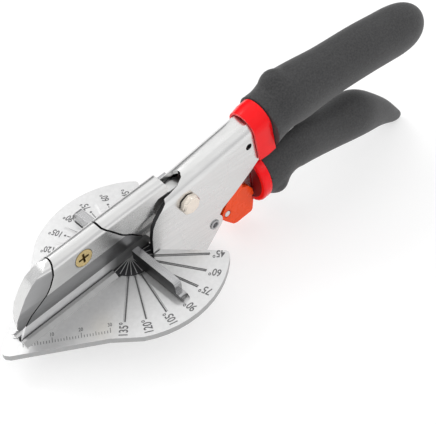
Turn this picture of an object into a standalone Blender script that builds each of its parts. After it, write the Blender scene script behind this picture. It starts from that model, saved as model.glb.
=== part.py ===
"""Mitre shears: a channel body with an angle plate and anvil, and a lever that carries the blade.

Everything is drawn in the tool's own frame: the origin is the vertex of the angle lines on the
plate's top, +X runs to the blade's tip, +Z is up from the plate. One empty then leans the whole
tool forward so that it rests on its keel and on the end of its lower grip.
"""

import math

import bmesh
import bpy
from mathutils import Matrix, Vector

# Clearances and cutting
GAP = 0.0003                 # between pieces that touch
OVERRUN = 0.002              # how far a cutter reaches past what it cuts
ARC_STEPS = 6                # facets on a rounded corner
ROUND_SIDES = 28

# Pose at rest
PITCH_DEG = 8.44

# Body channel, cheeks and keel
BODY_HALF_WIDTH = 0.0055
BODY_WALL = 0.0016
FOLD_X = -0.027              # where the folded back begins
BACK_Z = 0.0230              # top of the folded back there
BACK_RISE = 0.0030           # how much higher the back is at the collar
CHEEK_DEPTH = 0.0215         # keel's lowest point below the plate's top
KEEL_FLAT_LENGTH = 0.0175
KEEL_FRONT_X = 0.033
KEEL_REAR_X = -0.0275
KEEL_NOSE_Z = -0.0055
CHEEK_LENGTH = 0.0603        # vertex back to the cheek's lower rear corner
CHEEK_HEIGHT = 0.0213        # plate's top up to where the fold begins to close
CHEEK_FRONT_SHARES = [(-0.12, 0.35), (-0.137, 0.56), (-0.168, 0.70), (-0.199, 0.78),
                      (-0.257, 0.892), (-0.30, 1.17)]
MOUTH_SHARES = [(0.0, 0.69), (0.70, 0.69), (0.85, 0.62), (0.96, 0.40), (1.0, 0.12)]
CHEEK_UNDER_SHARES = [(-1.0, 0.315), (-0.912, 0.145), (-0.78, -0.066), (-0.67, -0.21)]
CHANNEL_STEP = 0.0125
COLLAR_OVER_CHEEK = 0.0028    # collar's front edge before the cheek's rear corner
COLLAR_LENGTH = 0.0076
GRIP_BEHIND_CHEEK = 0.0064
COLLAR_FRONT_X = COLLAR_OVER_CHEEK - CHEEK_LENGTH
COLLAR_REAR_X = COLLAR_FRONT_X - COLLAR_LENGTH
UPPER_GRIP_X = -CHEEK_LENGTH - GRIP_BEHIND_CHEEK
TANG_LENGTH = 0.0515         # inside the grip
TANG_END_X = UPPER_GRIP_X - TANG_LENGTH
TANG_DROP = 0.0055
TANG_DEPTH = 0.0130
TANG_KNEE_REACH = 0.0203     # grip's front back to the bend in the tang's lower edge
TANG_KNEE_DEPTH = 0.0156
EAR_X, EAR_Z = -0.0356, -0.0095
EAR_RADIUS = 0.0042
EAR_HOLE_RADIUS = 0.0021
GRIP_HOLE_X, GRIP_HOLE_Z = -0.0556, 0.0165
GRIP_HOLE_RADIUS = 0.0014
BLOCK_REAR_X, BLOCK_FRONT_X = -0.0100, 0.0290
BLOCK_REAR_Z, BLOCK_FRONT_Z = -0.0160, -0.0060
KEEL_RIVET_REAR_X, KEEL_RIVET_REAR_Z = -0.0060, -0.0090
KEEL_RIVET_FRONT_X, KEEL_RIVET_FRONT_Z = 0.0160, -0.0065
RIVET_RADIUS = 0.0015
RIVET_HEAD_RADIUS = 0.0026
RIVET_HEAD_HEIGHT = 0.0009
RIVET_SIDES = 16

# Pivot
PIVOT_X, PIVOT_Z = -0.0248, 0.0125
PIVOT_RADIUS = 0.0030
PIVOT_HEAD_RADIUS = 0.0042
PIVOT_HEAD_HEIGHT = 0.0024
PIVOT_HEAD_SIDES = 8
PIVOT_NUT_HEIGHT = 0.0028
PIVOT_STUB = 0.0005
NUT_SIDES = 6
WASHER_RADIUS = 0.0055

# Angle plate
PLATE_THICKNESS = 0.0025
PLATE_RADIUS = 0.0357
PLATE_TIP_X = 0.0575
PLATE_TIP_HALF = 0.0022
SHOULDER_X, SHOULDER_Y = 0.0284, 0.0216
REAR_CORNER_RADIUS = 0.0030
RIM_FRONT_X = 0.0200
RIM_REAR_DEG = 137.0
NOTCH_X = -0.0060
GROOVE_WIDTH = 0.0011
GROOVE_DEPTH = 0.0006
GROOVE_REACH = 0.0286
HUB_RADIUS = 0.0086
HUB_DEPTH = 0.0006
ANGLE_STEP_DEG = 15
ANGLE_FIRST_DEG, ANGLE_LAST_DEG = 45, 135

# Fences in their slots
SLOT_HALF = 0.0030
SLOT_MID_X = 0.0002
SLOT_DEPTH = 0.0012
SLOT_REACH = 0.0302
FENCE_THICKNESS = 0.0030
FENCE_HEIGHT = 0.0060
FENCE_LIP = 0.0027
FENCE_TOE_HEIGHT = 0.0011
FENCE_END = 0.0250
FAR_FENCE_END = 0.0265
NEAR_FENCE_X = -0.0010
FAR_FENCE_X = 0.0014
FENCE_SCREW_RADIUS = 0.0009
FENCE_SCREW_LENGTH = 0.0040
FENCE_HEAD_HEIGHT = 0.0010
FENCE_HEAD_EDGE_SHARE, FENCE_HEAD_SHARE = 1.6, 2.0     # head radii, of the screw's radius
NEAR_SCREW_PLACE = (NEAR_FENCE_X, 0.0170)
FAR_SCREW_PLACE = (FAR_FENCE_X, -0.0170)
RAIL_SCREW_X = 0.0400

# Anvil rail
ANVIL_TOP_Z = 0.0011
ANVIL_TOP_HALF = 0.00235
ANVIL_BASE_HALF = 0.0041
ANVIL_SINK = 0.0015
ANVIL_REAR_X, ANVIL_FRONT_X = 0.0087, 0.0500
ANVIL_SLOT_HALF = 0.0007
ANVIL_SLOT_Z = -0.0009

# Blade
BLADE_EDGE_Z = -0.00045
BLADE_HEIGHT = 0.01925
BLADE_THICKNESS = 0.0010
BLADE_MID_X = 0.0193
BLADE_HALF_LENGTH = 0.0305
BLADE_SPINE_HALF = 0.0165
BLADE_END_HEIGHT = 0.0072
BLADE_BEVEL = 0.0019
BLADE_EDGE_CLEAR = 0.0002    # how far the cutter that grinds the bevel starts below the edge
BLADE_HOLE_RADIUS = 0.0020
BLADE_HOLE_SPACING = 0.0208
BLADE_HOLE_Z = 0.01155
BLADE_SLOT_WIDTH = 0.0046
BLADE_SLOT_DEPTH = 0.0050
BLADE_SLOT_SPACING = 0.0280

BLADE_WAIST_SHARE = 0.28     # of each end's run, below the bend
BLADE_PLAY = 0.0002
BLADE_PIN_RADIUS = 0.0017
BLADE_PIN_DEPTH = 0.0024

# Jaw
JAW_LENGTH = 0.0498          # vertex forward to the nose
JAW_FLANK_Z = 0.0165
JAW_EDGE_HALF = 0.0013
JAW_HALF_WIDTH = 0.00327
JAW_BACK_Z = 0.0282
JAW_BOTTOM_Z = 0.0067
JAW_CAP_Z = 0.0235
CLAMP_REAR_X, CLAMP_FRONT_X = 0.0110, 0.0311
SCREW_X, SCREW_Z = 0.0201, 0.0206
SCREW_RADIUS = 0.0015
SCREW_HEAD_RADIUS = 0.0035
SCREW_HEAD_HEIGHT = 0.0014
SCREW_RIM = 0.0002
SCREW_SHORT = 0.0004
CROSS_WIDTH = 0.0009
CROSS_DEPTH = 0.0008
CROSS_REACH_SHARE = 0.62
JAW_SIDE_SHARES = [
    (-0.378, 0.826), (-0.351, 0.968), (-0.317, 1.03), (0.633, 1.03), (0.729, 0.950),
    (0.817, 0.879), (0.886, 0.762), (0.952, 0.596), (0.986, 0.472), (1.0, 0.337),
    (0.986, 0.20), (-0.17, 0.20), (-0.197, 0.301), (-0.231, 0.401), (-0.257, 0.479),
    (-0.233, 0.553), (-0.223, 0.638), (-0.239, 0.720), (-0.281, 0.770), (-0.361, 0.762),
]
CLAMP_REAR_SHARES = [(1.0, 1.03), (0.945, 0.965), (0.682, 0.837), (0.309, 0.638),
                     (-0.073, 0.50), (-0.745, 0.174)]
CLAMP_FRONT_SHARES = [(1.56, 0.174), (1.424, 0.390), (1.183, 0.610), (1.125, 0.688),
                      (1.064, 0.816), (1.048, 0.929), (1.0, 1.03)]

# Lever arm between the cheeks
LEVER_HALF = 0.0018
LEVER_LENGTH = 0.1180        # origin to the tang's end
LEVER_HEIGHT = 0.0210        # origin down to the tang's end
CATCH_X, CATCH_Z = -0.0450, 0.0036
CATCH_RADIUS = 0.0012
LEVER_SHARES = [
    (-0.051, 1.02), (-0.102, 1.01), (-0.136, 0.97), (-0.174, 0.914), (-0.229, 0.914),
    (-0.263, 0.83), (-0.288, 0.4286), (-0.356, 0.4286), (-0.364, 0.19), (-0.372, 0.045),
    (-0.458, 0.045), (-0.492, 0.0), (-0.524, -0.10), (-0.712, -0.155), (-0.847, -0.375),
    (-1.0, -0.64), (-1.0, -0.975), (-0.847, -0.71), (-0.712, -0.485), (-0.524, -0.50),
    (-0.492, -0.595), (-0.424, -0.585), (-0.394, -0.665), (-0.373, -0.735), (-0.352, -0.665),
    (-0.343, -0.525), (-0.305, -0.286), (-0.254, 0.0), (-0.17, 0.143), (-0.106, 0.324),
    (-0.042, 0.38), (-0.017, 0.57), (-0.017, 0.95),
]
LEVER_TANG_SHARES = [(-0.475, 0.07), (-0.524, -0.085), (-0.712, -0.14), (-0.847, -0.36),
                     (-1.003, -0.62), (-1.003, -0.995), (-0.847, -0.725), (-0.712, -0.50),
                     (-0.524, -0.515), (-0.492, -0.612), (-0.475, -0.64)]

# Latch
LATCH_X, LATCH_Z = -0.0440, -0.0125
LATCH_HALF = 0.0035
LATCH_PIN_RADIUS = 0.0013
LATCH_SWING_DEG = 12.0
LATCH_LENGTH = 0.0132        # pin to the thumb end
LATCH_HEIGHT = 0.0087        # pin to the thumb end's underside
HOOK_WIDTH = 0.0028
HOOK_TIP = 0.0009
HOOK_TIP_SHARE, HOOK_SHOULDER_SHARE, HOOK_BACK_SHARE = 0.6, 0.8, 0.4     # of the hook's width
LATCH_FLOOR_SHARE = 0.47
LATCH_TAB_SHARES = [
    (-0.636, 0.92), (-0.864, 0.724), (-1.01, 0.368), (-1.04, 0.03), (-0.96, -0.05),
    (-0.95, -0.24), (-1.01, -0.32), (-0.95, -0.87), (-0.89, -0.98), (-0.32, -0.99),
    (-0.18, -0.90), (0.08, -0.40), (0.20, -0.15), (0.20, 0.15), (0.10, 0.40), (-0.10, 0.80),
]

# Return spring
SPRING_X = -0.0380
SPRING_RADIUS = 0.0027
WIRE_RADIUS = 0.00045
SPRING_CURLS = 5
CURL_POINTS = 10
WIRE_SIDES = 6
LOWER_SEAT_Z, UPPER_SEAT_Z = 0.0093, 0.0192
SEAT_HEIGHT = 0.0010
SEAT_RADIUS = 0.0033

# Grips and collars
GRIP_SIDES = 26
GRIP_WIDTH_SHARE = 0.85
GRIP_HEIGHT = 0.0220
UPPER_GRIP_LENGTH = 0.0882
UPPER_GRIP_END_X = UPPER_GRIP_X - UPPER_GRIP_LENGTH
UPPER_CAP_LENGTH = 0.0158
LOWER_GRIP_FRONT_SHARE, LOWER_GRIP_END_SHARE = 0.5297, 1.2350
LOWER_GRIP_X = -LEVER_LENGTH * LOWER_GRIP_FRONT_SHARE
LOWER_GRIP_END_X = -LEVER_LENGTH * LOWER_GRIP_END_SHARE
LOWER_CAP_LENGTH = 0.0100
UPPER_FRONT_TILT_DEG, UPPER_TILT_DEG = -5.5, 6.0
LOWER_FRONT_TILT_DEG, LOWER_TILT_DEG = 0.0, 16.0
COLLAR_PROUD = 0.0018
LOWER_COLLAR_LENGTH = 0.0042
LOWER_COLLAR_FRONT_X = LOWER_GRIP_X + LOWER_COLLAR_LENGTH
COLLAR_EDGE = 0.0006
COLLAR_LEAN_SHARE = 0.10
COLLAR_SWELL_SHARE = 1.04
GRIP_STATIONS = 16
CAP_STEPS_DEG = (0, 25, 45, 60, 72, 81)
UPPER_GRIP_SHARES = [
    (0.0, 0.785, 0.539), (0.050, 0.818, 0.506), (0.100, 0.922, 0.537), (0.170, 0.891, 0.562),
    (0.380, 0.797, 0.506), (0.610, 0.680, 0.502), (0.840, 0.516, 0.500), (1.0, 0.429, 0.545),
]
LOWER_GRIP_SHARES = [
    (0.0, -0.305, 0.495), (0.050, -0.357, 0.540), (0.100, -0.340, 0.521), (0.150, -0.279, 0.477),
    (0.220, -0.299, 0.482), (0.450, -0.573, 0.447), (0.660, -0.780, 0.480), (0.850, -1.251, 0.292),
    (1.0, -1.767, 0.170),
]


# Materials

def material(name, colour, roughness, metallic):
    made = bpy.data.materials.new(name)
    made.use_nodes = True
    shader = made.node_tree.nodes["Principled BSDF"]
    shader.inputs["Base Color"].default_value = (*colour, 1.0)
    shader.inputs["Roughness"].default_value = roughness
    shader.inputs["Metallic"].default_value = metallic
    made.diffuse_color = (*colour, 1.0)
    return made


# Outlines

def rounded(corners):
    """Points of an outline whose corners (x, z, radius) are turned into arcs."""
    points = []
    for index, (x, z, radius) in enumerate(corners):
        here = Vector((x, z))
        if not radius:
            points.append(here)
            continue
        back = (Vector(corners[index - 1][:2]) - here)
        ahead = (Vector(corners[(index + 1) % len(corners)][:2]) - here)
        half = back.angle(ahead) / 2
        reach = min(radius / math.tan(half), 0.49 * back.length, 0.49 * ahead.length)
        start, end = here + back.normalized() * reach, here + ahead.normalized() * reach
        for step in range(ARC_STEPS + 1):
            share = step / ARC_STEPS
            points.append(start.lerp(here, share).lerp(here.lerp(end, share), share))
    return points


def from_shares(shares, length, height, x=0.0, z=0.0):
    return [Vector((x + along * length, z + up * height)) for along, up in shares]


def circle(x, z, radius, sides=ROUND_SIDES):
    turn = 2 * math.pi / sides
    return [
        Vector((x + radius * math.cos(turn * i), z + radius * math.sin(turn * i)))
        for i in range(sides)
    ]


def arc(x, z, radius, first_deg, last_deg, steps):
    """Points on an arc, both ends included."""
    return [
        Vector((x, z)) + radius * Vector((math.cos(angle), math.sin(angle)))
        for angle in (
            math.radians(first_deg + (last_deg - first_deg) * i / steps)
            for i in range(steps + 1)
        )
    ]


# Meshes, all in the tool's own frame

def loft(rings):
    """A closed skin through rings with the same number of points."""
    bm = bmesh.new()
    rows = [[bm.verts.new(point) for point in ring] for ring in rings]
    for low, high in zip(rows, rows[1:]):
        for i in range(len(low)):
            j = (i + 1) % len(low)
            bm.faces.new((low[i], low[j], high[j], high[i]))
    bm.faces.new(rows[0][::-1])
    bm.faces.new(rows[-1])
    bmesh.ops.recalc_face_normals(bm, faces=bm.faces)
    return bm


def side_prism(outline, y_low, y_high):
    """An outline in X and Z, extruded across the tool."""
    return loft([[Vector((x, y, z)) for x, z in outline] for y in (y_low, y_high)])


def flat_prism(outline, z_low, z_high):
    """An outline in X and Y, extruded upward."""
    return loft([[Vector((x, y, z)) for x, y in outline] for z in (z_low, z_high)])


def end_prism(outline, x_low, x_high):
    """An outline in Y and Z, extruded along the tool."""
    return loft([[Vector((x, y, z)) for y, z in outline] for x in (x_low, x_high)])


def turned(profile, place, axis="Z", sides=ROUND_SIDES):
    """A solid of revolution: (radius, height) pairs, its axis through the place."""
    rings = []
    for radius, height in profile:
        ring = circle(0.0, 0.0, radius, sides)
        rings.append([Vector((x, y, height)) for x, y in ring])
    bm = loft(rings)
    if axis == "Y":
        bmesh.ops.rotate(bm, verts=bm.verts, matrix=Matrix.Rotation(math.radians(-90), 3, "X"))
    bmesh.ops.translate(bm, verts=bm.verts, vec=Vector(place))
    return bm


def box(x_low, x_high, y_low, y_high, z_low, z_high):
    corners = [Vector((x, z)) for x, z in
               ((x_low, z_low), (x_high, z_low), (x_high, z_high), (x_low, z_high))]
    return side_prism(corners, y_low, y_high)


# Objects

def frame_empty(name, place, parent=None):
    empty = bpy.data.objects.new(name, None)
    bpy.context.scene.collection.objects.link(empty)
    empty.parent = parent
    empty.location = place
    empty["axis_place"] = list(place) if parent is None else [
        a + b for a, b in zip(place, parent["axis_place"])
    ]
    return empty


def piece(name, bm, finish, carrier):
    """One named object, its mesh measured from the carrier's place."""
    mesh = bpy.data.meshes.new(name)
    bmesh.ops.translate(bm, verts=bm.verts, vec=-Vector(carrier["axis_place"]))
    bm.to_mesh(mesh)
    bm.free()
    mesh.materials.append(finish)
    mesh.shade_smooth()
    mesh.set_sharp_from_angle(angle=math.radians(32))
    made = bpy.data.objects.new(name, mesh)
    bpy.context.scene.collection.objects.link(made)
    made.parent = carrier
    return made


def combine(target, bm, operation="DIFFERENCE"):
    """A Boolean with a hidden helper that shares the target's carrier."""
    helper = piece(f"{target.name}_helper", bm, target.data.materials[0], target.parent)
    helper.hide_render = True
    helper.display_type = "WIRE"
    modifier = target.modifiers.new(operation.title(), "BOOLEAN")
    modifier.operation = operation
    modifier.object = helper
    modifier.solver = "EXACT"
    return helper


# Channel body

def fold_z(x):
    """Height of the folded back's top, which climbs toward the grip and falls inside it."""
    fold_rate = BACK_RISE / (FOLD_X - COLLAR_FRONT_X)
    if x > UPPER_GRIP_X:
        return BACK_Z + (FOLD_X - x) * fold_rate
    tang_share = (UPPER_GRIP_X - x) / (UPPER_GRIP_X - TANG_END_X)
    top = BACK_Z + (FOLD_X - UPPER_GRIP_X) * fold_rate
    return top - TANG_DROP * tang_share ** 2


def channel_ring(x, half_width, wall, low_z):
    """Section of the folded channel at x: an upturned U."""
    middle_z = fold_z(x) - BODY_HALF_WIDTH
    outer = arc(0.0, middle_z, half_width, 0, 180, 2 * ARC_STEPS)
    inner = arc(0.0, middle_z, half_width - wall, 180, 0, 2 * ARC_STEPS)
    section = [Vector((half_width, low_z)), *outer, Vector((-half_width, low_z)),
               Vector((wall - half_width, low_z)), *inner, Vector((half_width - wall, low_z))]
    return [Vector((x, y, z)) for y, z in section]


def channel_stations(first_x, last_x):
    count = max(2, round((first_x - last_x) / CHANNEL_STEP))
    return [first_x + (last_x - first_x) * i / count for i in range(count + 1)]


def body_outline():
    """Side view of the cheeks, the ear, the keel and the tang inside the grip."""
    slope = math.tan(math.radians(PITCH_DEG))
    flat_front = KEEL_REAR_X + KEEL_FLAT_LENGTH
    flat_rear_z = -CHEEK_DEPTH - slope * KEEL_FLAT_LENGTH / 2
    flat_front_z = -CHEEK_DEPTH + slope * KEEL_FLAT_LENGTH / 2
    seat_z = -PLATE_THICKNESS - GAP
    cheek = from_shares(CHEEK_FRONT_SHARES, CHEEK_LENGTH, CHEEK_HEIGHT)
    under = from_shares(CHEEK_UNDER_SHARES, CHEEK_LENGTH, CHEEK_HEIGHT)
    ear = arc(EAR_X, EAR_Z, EAR_RADIUS, 135, 235, ARC_STEPS)
    return [
        Vector((KEEL_FRONT_X, seat_z)), Vector((NOTCH_X - GAP, seat_z)), *cheek,
        Vector((FOLD_X, BACK_Z + OVERRUN)), Vector((TANG_END_X, BACK_Z + OVERRUN)),
        Vector((TANG_END_X, fold_z(TANG_END_X) - TANG_DEPTH)), tang_knee(), *under, *ear,
        Vector((KEEL_REAR_X, flat_rear_z)), Vector((flat_front, flat_front_z)),
        Vector((KEEL_FRONT_X, KEEL_NOSE_Z)),
    ]


def make_body(carrier, steel, dark_steel):
    stations = channel_stations(KEEL_FRONT_X + OVERRUN, TANG_END_X)
    low_z = -CHEEK_DEPTH - 2 * OVERRUN
    rings = [channel_ring(x, BODY_HALF_WIDTH, BODY_WALL, low_z) for x in stations]
    body = piece("body_channel", loft(rings), steel, carrier)
    reach = BODY_HALF_WIDTH + OVERRUN
    combine(body, side_prism(body_outline(), -reach, reach), "INTERSECT")
    mouth = from_shares(MOUTH_SHARES, FOLD_X, BODY_HALF_WIDTH)
    mouth += [Vector((x, -y)) for x, y in reversed(mouth)]
    combine(body, flat_prism(mouth, PIVOT_Z, BACK_Z + OVERRUN))
    combine(body, side_prism(circle(PIVOT_X, PIVOT_Z, PIVOT_RADIUS + GAP), -reach, reach))
    combine(body, side_prism(circle(EAR_X, EAR_Z, EAR_HOLE_RADIUS), -reach, reach))
    combine(body, side_prism(circle(GRIP_HOLE_X, GRIP_HOLE_Z, GRIP_HOLE_RADIUS), 0.0, reach))
    for x, z in rivet_places():
        combine(body, side_prism(circle(x, z, RIVET_RADIUS + GAP), -reach, reach))
    make_keel_block(carrier, dark_steel)


def rivet_places():
    return ((KEEL_RIVET_REAR_X, KEEL_RIVET_REAR_Z), (KEEL_RIVET_FRONT_X, KEEL_RIVET_FRONT_Z))


def make_keel_block(carrier, finish):
    """Spacer between the cheeks under the plate, held by two rivets."""
    half = BODY_HALF_WIDTH - BODY_WALL - GAP
    top_z = -PLATE_THICKNESS - GAP
    outline = [
        Vector((BLOCK_REAR_X, top_z)), Vector((BLOCK_FRONT_X, top_z)),
        Vector((BLOCK_FRONT_X, BLOCK_FRONT_Z)), Vector((BLOCK_REAR_X, BLOCK_REAR_Z)),
    ]
    block = piece("keel_block", side_prism(outline, -half, half), finish, carrier)
    for (x, z), name in zip(rivet_places(), ("keel_rivet_rear", "keel_rivet_front")):
        combine(block, side_prism(circle(x, z, RIVET_RADIUS + GAP), -half - OVERRUN, half + OVERRUN))
        face = BODY_HALF_WIDTH + GAP
        outer = face + RIVET_HEAD_HEIGHT
        dome = outer - RIVET_HEAD_HEIGHT / 2
        profile = [
            (RIVET_HEAD_RADIUS / 2, -outer), (RIVET_HEAD_RADIUS, -dome), (RIVET_HEAD_RADIUS, -face),
            (RIVET_RADIUS, -face), (RIVET_RADIUS, face), (RIVET_HEAD_RADIUS, face),
            (RIVET_HEAD_RADIUS, dome), (RIVET_HEAD_RADIUS / 2, outer),
        ]
        piece(name, turned(profile, (x, 0.0, z), "Y", RIVET_SIDES), finish, carrier)


# Angle plate, fences and anvil

def plate_outline():
    """Top view: straight sides to the tip, a round rim, and a notch for the cheeks."""
    notch_half = BODY_HALF_WIDTH + GAP
    side = [(SHOULDER_X, SHOULDER_Y, 0)]
    rim_front = math.degrees(math.acos(RIM_FRONT_X / PLATE_RADIUS))
    rim = arc(0.0, 0.0, PLATE_RADIUS, rim_front, RIM_REAR_DEG, 2 * ARC_STEPS)
    rear = rim[-1] + Vector((-math.sqrt(0.5), -math.sqrt(0.5))) * REAR_CORNER_RADIUS
    run = rear.y - notch_half
    half = [Vector((PLATE_TIP_X, PLATE_TIP_HALF / 4)),
            Vector((PLATE_TIP_X - PLATE_TIP_HALF / 2, PLATE_TIP_HALF))]
    half += rounded([(PLATE_TIP_X, 0.0, 0), *side, (rim[0].x, rim[0].y, 0)])[1:2]
    corner = rounded([(rim[-2].x, rim[-2].y, 0), (rim[-1].x, rim[-1].y, REAR_CORNER_RADIUS),
                      (rim[-1].x + run, notch_half, 0)])[1:-1]
    half += rim[:-1] + corner
    half += [Vector((rim[-1].x + run, notch_half)), Vector((NOTCH_X, notch_half))]
    return half + [Vector((x, -y)) for x, y in reversed(half)]


def make_plate(carrier, steel):
    plate = piece("angle_plate", flat_prism(plate_outline(), -PLATE_THICKNESS, 0.0), steel, carrier)
    rail_half = ANVIL_BASE_HALF + GAP
    deep_z = -ANVIL_SINK - GAP
    combine(plate, box(NOTCH_X - OVERRUN, ANVIL_FRONT_X + GAP, -rail_half, rail_half, deep_z, OVERRUN))
    combine(plate, turned([(HUB_RADIUS, -HUB_DEPTH), (HUB_RADIUS, OVERRUN)], (0.0, 0.0, 0.0)))
    slot_radius = SLOT_HALF
    for side in (1, -1):
        outline = [Vector((SLOT_MID_X + SLOT_HALF, 0.0)), *arc(
            SLOT_MID_X, SLOT_REACH - slot_radius, slot_radius, 0, 180, ARC_STEPS),
            Vector((SLOT_MID_X - SLOT_HALF, 0.0))]
        outline = [Vector((x, y * side)) for x, y in outline]
        combine(plate, flat_prism(outline, -SLOT_DEPTH, OVERRUN))
    for angle in range(ANGLE_FIRST_DEG, ANGLE_LAST_DEG + 1, ANGLE_STEP_DEG):
        if angle == 90:
            continue
        for side in (1, -1):
            groove = box(HUB_RADIUS - OVERRUN, GROOVE_REACH, -GROOVE_WIDTH / 2, GROOVE_WIDTH / 2,
                         -GROOVE_DEPTH, OVERRUN)
            turn = Matrix.Rotation(math.radians(side * angle), 3, "Z")
            bmesh.ops.rotate(groove, verts=groove.verts, matrix=turn)
            combine(plate, groove)
    for x, y in (NEAR_SCREW_PLACE, FAR_SCREW_PLACE, (RAIL_SCREW_X, 0.0)):
        hole = circle(x, y, FENCE_SCREW_RADIUS + GAP, RIVET_SIDES)
        combine(plate, flat_prism(hole, -PLATE_THICKNESS - OVERRUN, OVERRUN))


def make_fences(carrier, steel, dark_steel):
    """Two upright guides that stand in the plate's slots, each held by a screw from below."""
    for name, side, mid_x, end, place in (
        ("near_fence", 1, NEAR_FENCE_X, FENCE_END, NEAR_SCREW_PLACE),
        ("far_fence", -1, FAR_FENCE_X, FAR_FENCE_END, FAR_SCREW_PLACE),
    ):
        foot_z = -SLOT_DEPTH + GAP
        toe = SLOT_REACH - SLOT_HALF
        outline = [
            (FENCE_LIP, FENCE_HEIGHT, 0), (FENCE_LIP, ANVIL_TOP_Z + GAP, 0),
            (ANVIL_BASE_HALF + GAP, ANVIL_TOP_Z + GAP, 0), (ANVIL_BASE_HALF + GAP, foot_z, 0),
            (toe, foot_z, 0), (toe, FENCE_TOE_HEIGHT, FENCE_TOE_HEIGHT),
            (end, FENCE_TOE_HEIGHT, 0), (end, FENCE_HEIGHT, FENCE_HEIGHT / 3),
        ]
        outline = [Vector((y * side, z)) for y, z in rounded(outline)]
        half = FENCE_THICKNESS / 2
        fence = piece(name, end_prism(outline, mid_x - half, mid_x + half), steel, carrier)
        x, y = place
        top_z = foot_z + FENCE_SCREW_LENGTH
        hole = circle(x, y, FENCE_SCREW_RADIUS + GAP, RIVET_SIDES)
        combine(fence, flat_prism(hole, foot_z - OVERRUN, top_z + GAP))
        make_plate_screw(f"{name}_screw", x, y, top_z, dark_steel, carrier)


def make_plate_screw(name, x, y, top_z, finish, carrier):
    """A screw from under the plate, its head below."""
    head_z = -PLATE_THICKNESS - GAP
    profile = [
        (FENCE_SCREW_RADIUS * FENCE_HEAD_EDGE_SHARE, head_z - FENCE_HEAD_HEIGHT),
        (FENCE_SCREW_RADIUS * FENCE_HEAD_SHARE, head_z),
        (FENCE_SCREW_RADIUS, head_z), (FENCE_SCREW_RADIUS, top_z),
    ]
    piece(name, turned(profile, (x, y, 0.0), "Z", RIVET_SIDES), finish, carrier)


def make_anvil(carrier, finish, dark_steel):
    """Rail under the blade, with the slot that the edge closes into."""
    flank_z = 0.0
    outline = [
        (ANVIL_BASE_HALF, -ANVIL_SINK), (ANVIL_BASE_HALF, flank_z), (ANVIL_TOP_HALF, ANVIL_TOP_Z),
        (ANVIL_SLOT_HALF, ANVIL_TOP_Z), (ANVIL_SLOT_HALF, ANVIL_SLOT_Z),
    ]
    outline += [(-y, z) for y, z in reversed(outline)]
    rail = piece("anvil_rail", end_prism(outline, ANVIL_REAR_X, ANVIL_FRONT_X), finish, carrier)
    reach_z = ANVIL_SLOT_Z - GAP
    hole = circle(RAIL_SCREW_X, 0.0, FENCE_SCREW_RADIUS + GAP, RIVET_SIDES)
    combine(rail, flat_prism(hole, -ANVIL_SINK - OVERRUN, reach_z + GAP))
    make_plate_screw("rail_screw", RAIL_SCREW_X, 0.0, reach_z, dark_steel, carrier)


# Jaw, blade and clamp

def jaw_section():
    """Rounded back, flat flanks and long chamfers down to the blade."""
    back = arc(0.0, JAW_BACK_Z - JAW_HALF_WIDTH, JAW_HALF_WIDTH, 0, 180, 2 * ARC_STEPS)
    return [*back, Vector((-JAW_HALF_WIDTH, JAW_FLANK_Z)), Vector((-JAW_EDGE_HALF, JAW_BOTTOM_Z)),
            Vector((JAW_EDGE_HALF, JAW_BOTTOM_Z)), Vector((JAW_HALF_WIDTH, JAW_FLANK_Z))]


def blade_outline(margin=0.0):
    half, spine = BLADE_HALF_LENGTH + margin, BLADE_SPINE_HALF + margin
    waist = half - (BLADE_HALF_LENGTH - BLADE_SPINE_HALF) * BLADE_WAIST_SHARE
    low, high = BLADE_EDGE_Z - margin, BLADE_EDGE_Z + BLADE_HEIGHT + margin
    bend = BLADE_EDGE_Z + BLADE_END_HEIGHT
    return [Vector((BLADE_MID_X + x, z)) for x, z in (
        (-half, low), (half, low), (waist, bend), (spine, high), (-spine, high), (-waist, bend))]


def clamp_outline(margin=0.0):
    rear = from_shares(CLAMP_REAR_SHARES, CLAMP_REAR_X, JAW_BACK_Z, -margin)
    front = from_shares(CLAMP_FRONT_SHARES, CLAMP_FRONT_X, JAW_BACK_Z, margin)
    return rear + front


def screw_profile(margin=0.0):
    """Countersunk screw across the jaw, its head flush with the near flank."""
    top = JAW_HALF_WIDTH
    return [
        (SCREW_RADIUS + margin, -JAW_HALF_WIDTH + SCREW_SHORT - 2 * margin),
        (SCREW_RADIUS + margin, top - SCREW_HEAD_HEIGHT - margin),
        (SCREW_HEAD_RADIUS + margin, top - SCREW_RIM - margin),
        (SCREW_HEAD_RADIUS + margin, top + 2 * margin),
    ]


def blade_hole_places():
    half = BLADE_HOLE_SPACING / 2
    return ((BLADE_MID_X - half, BLADE_HOLE_Z), (BLADE_MID_X + half, BLADE_HOLE_Z))


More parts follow.
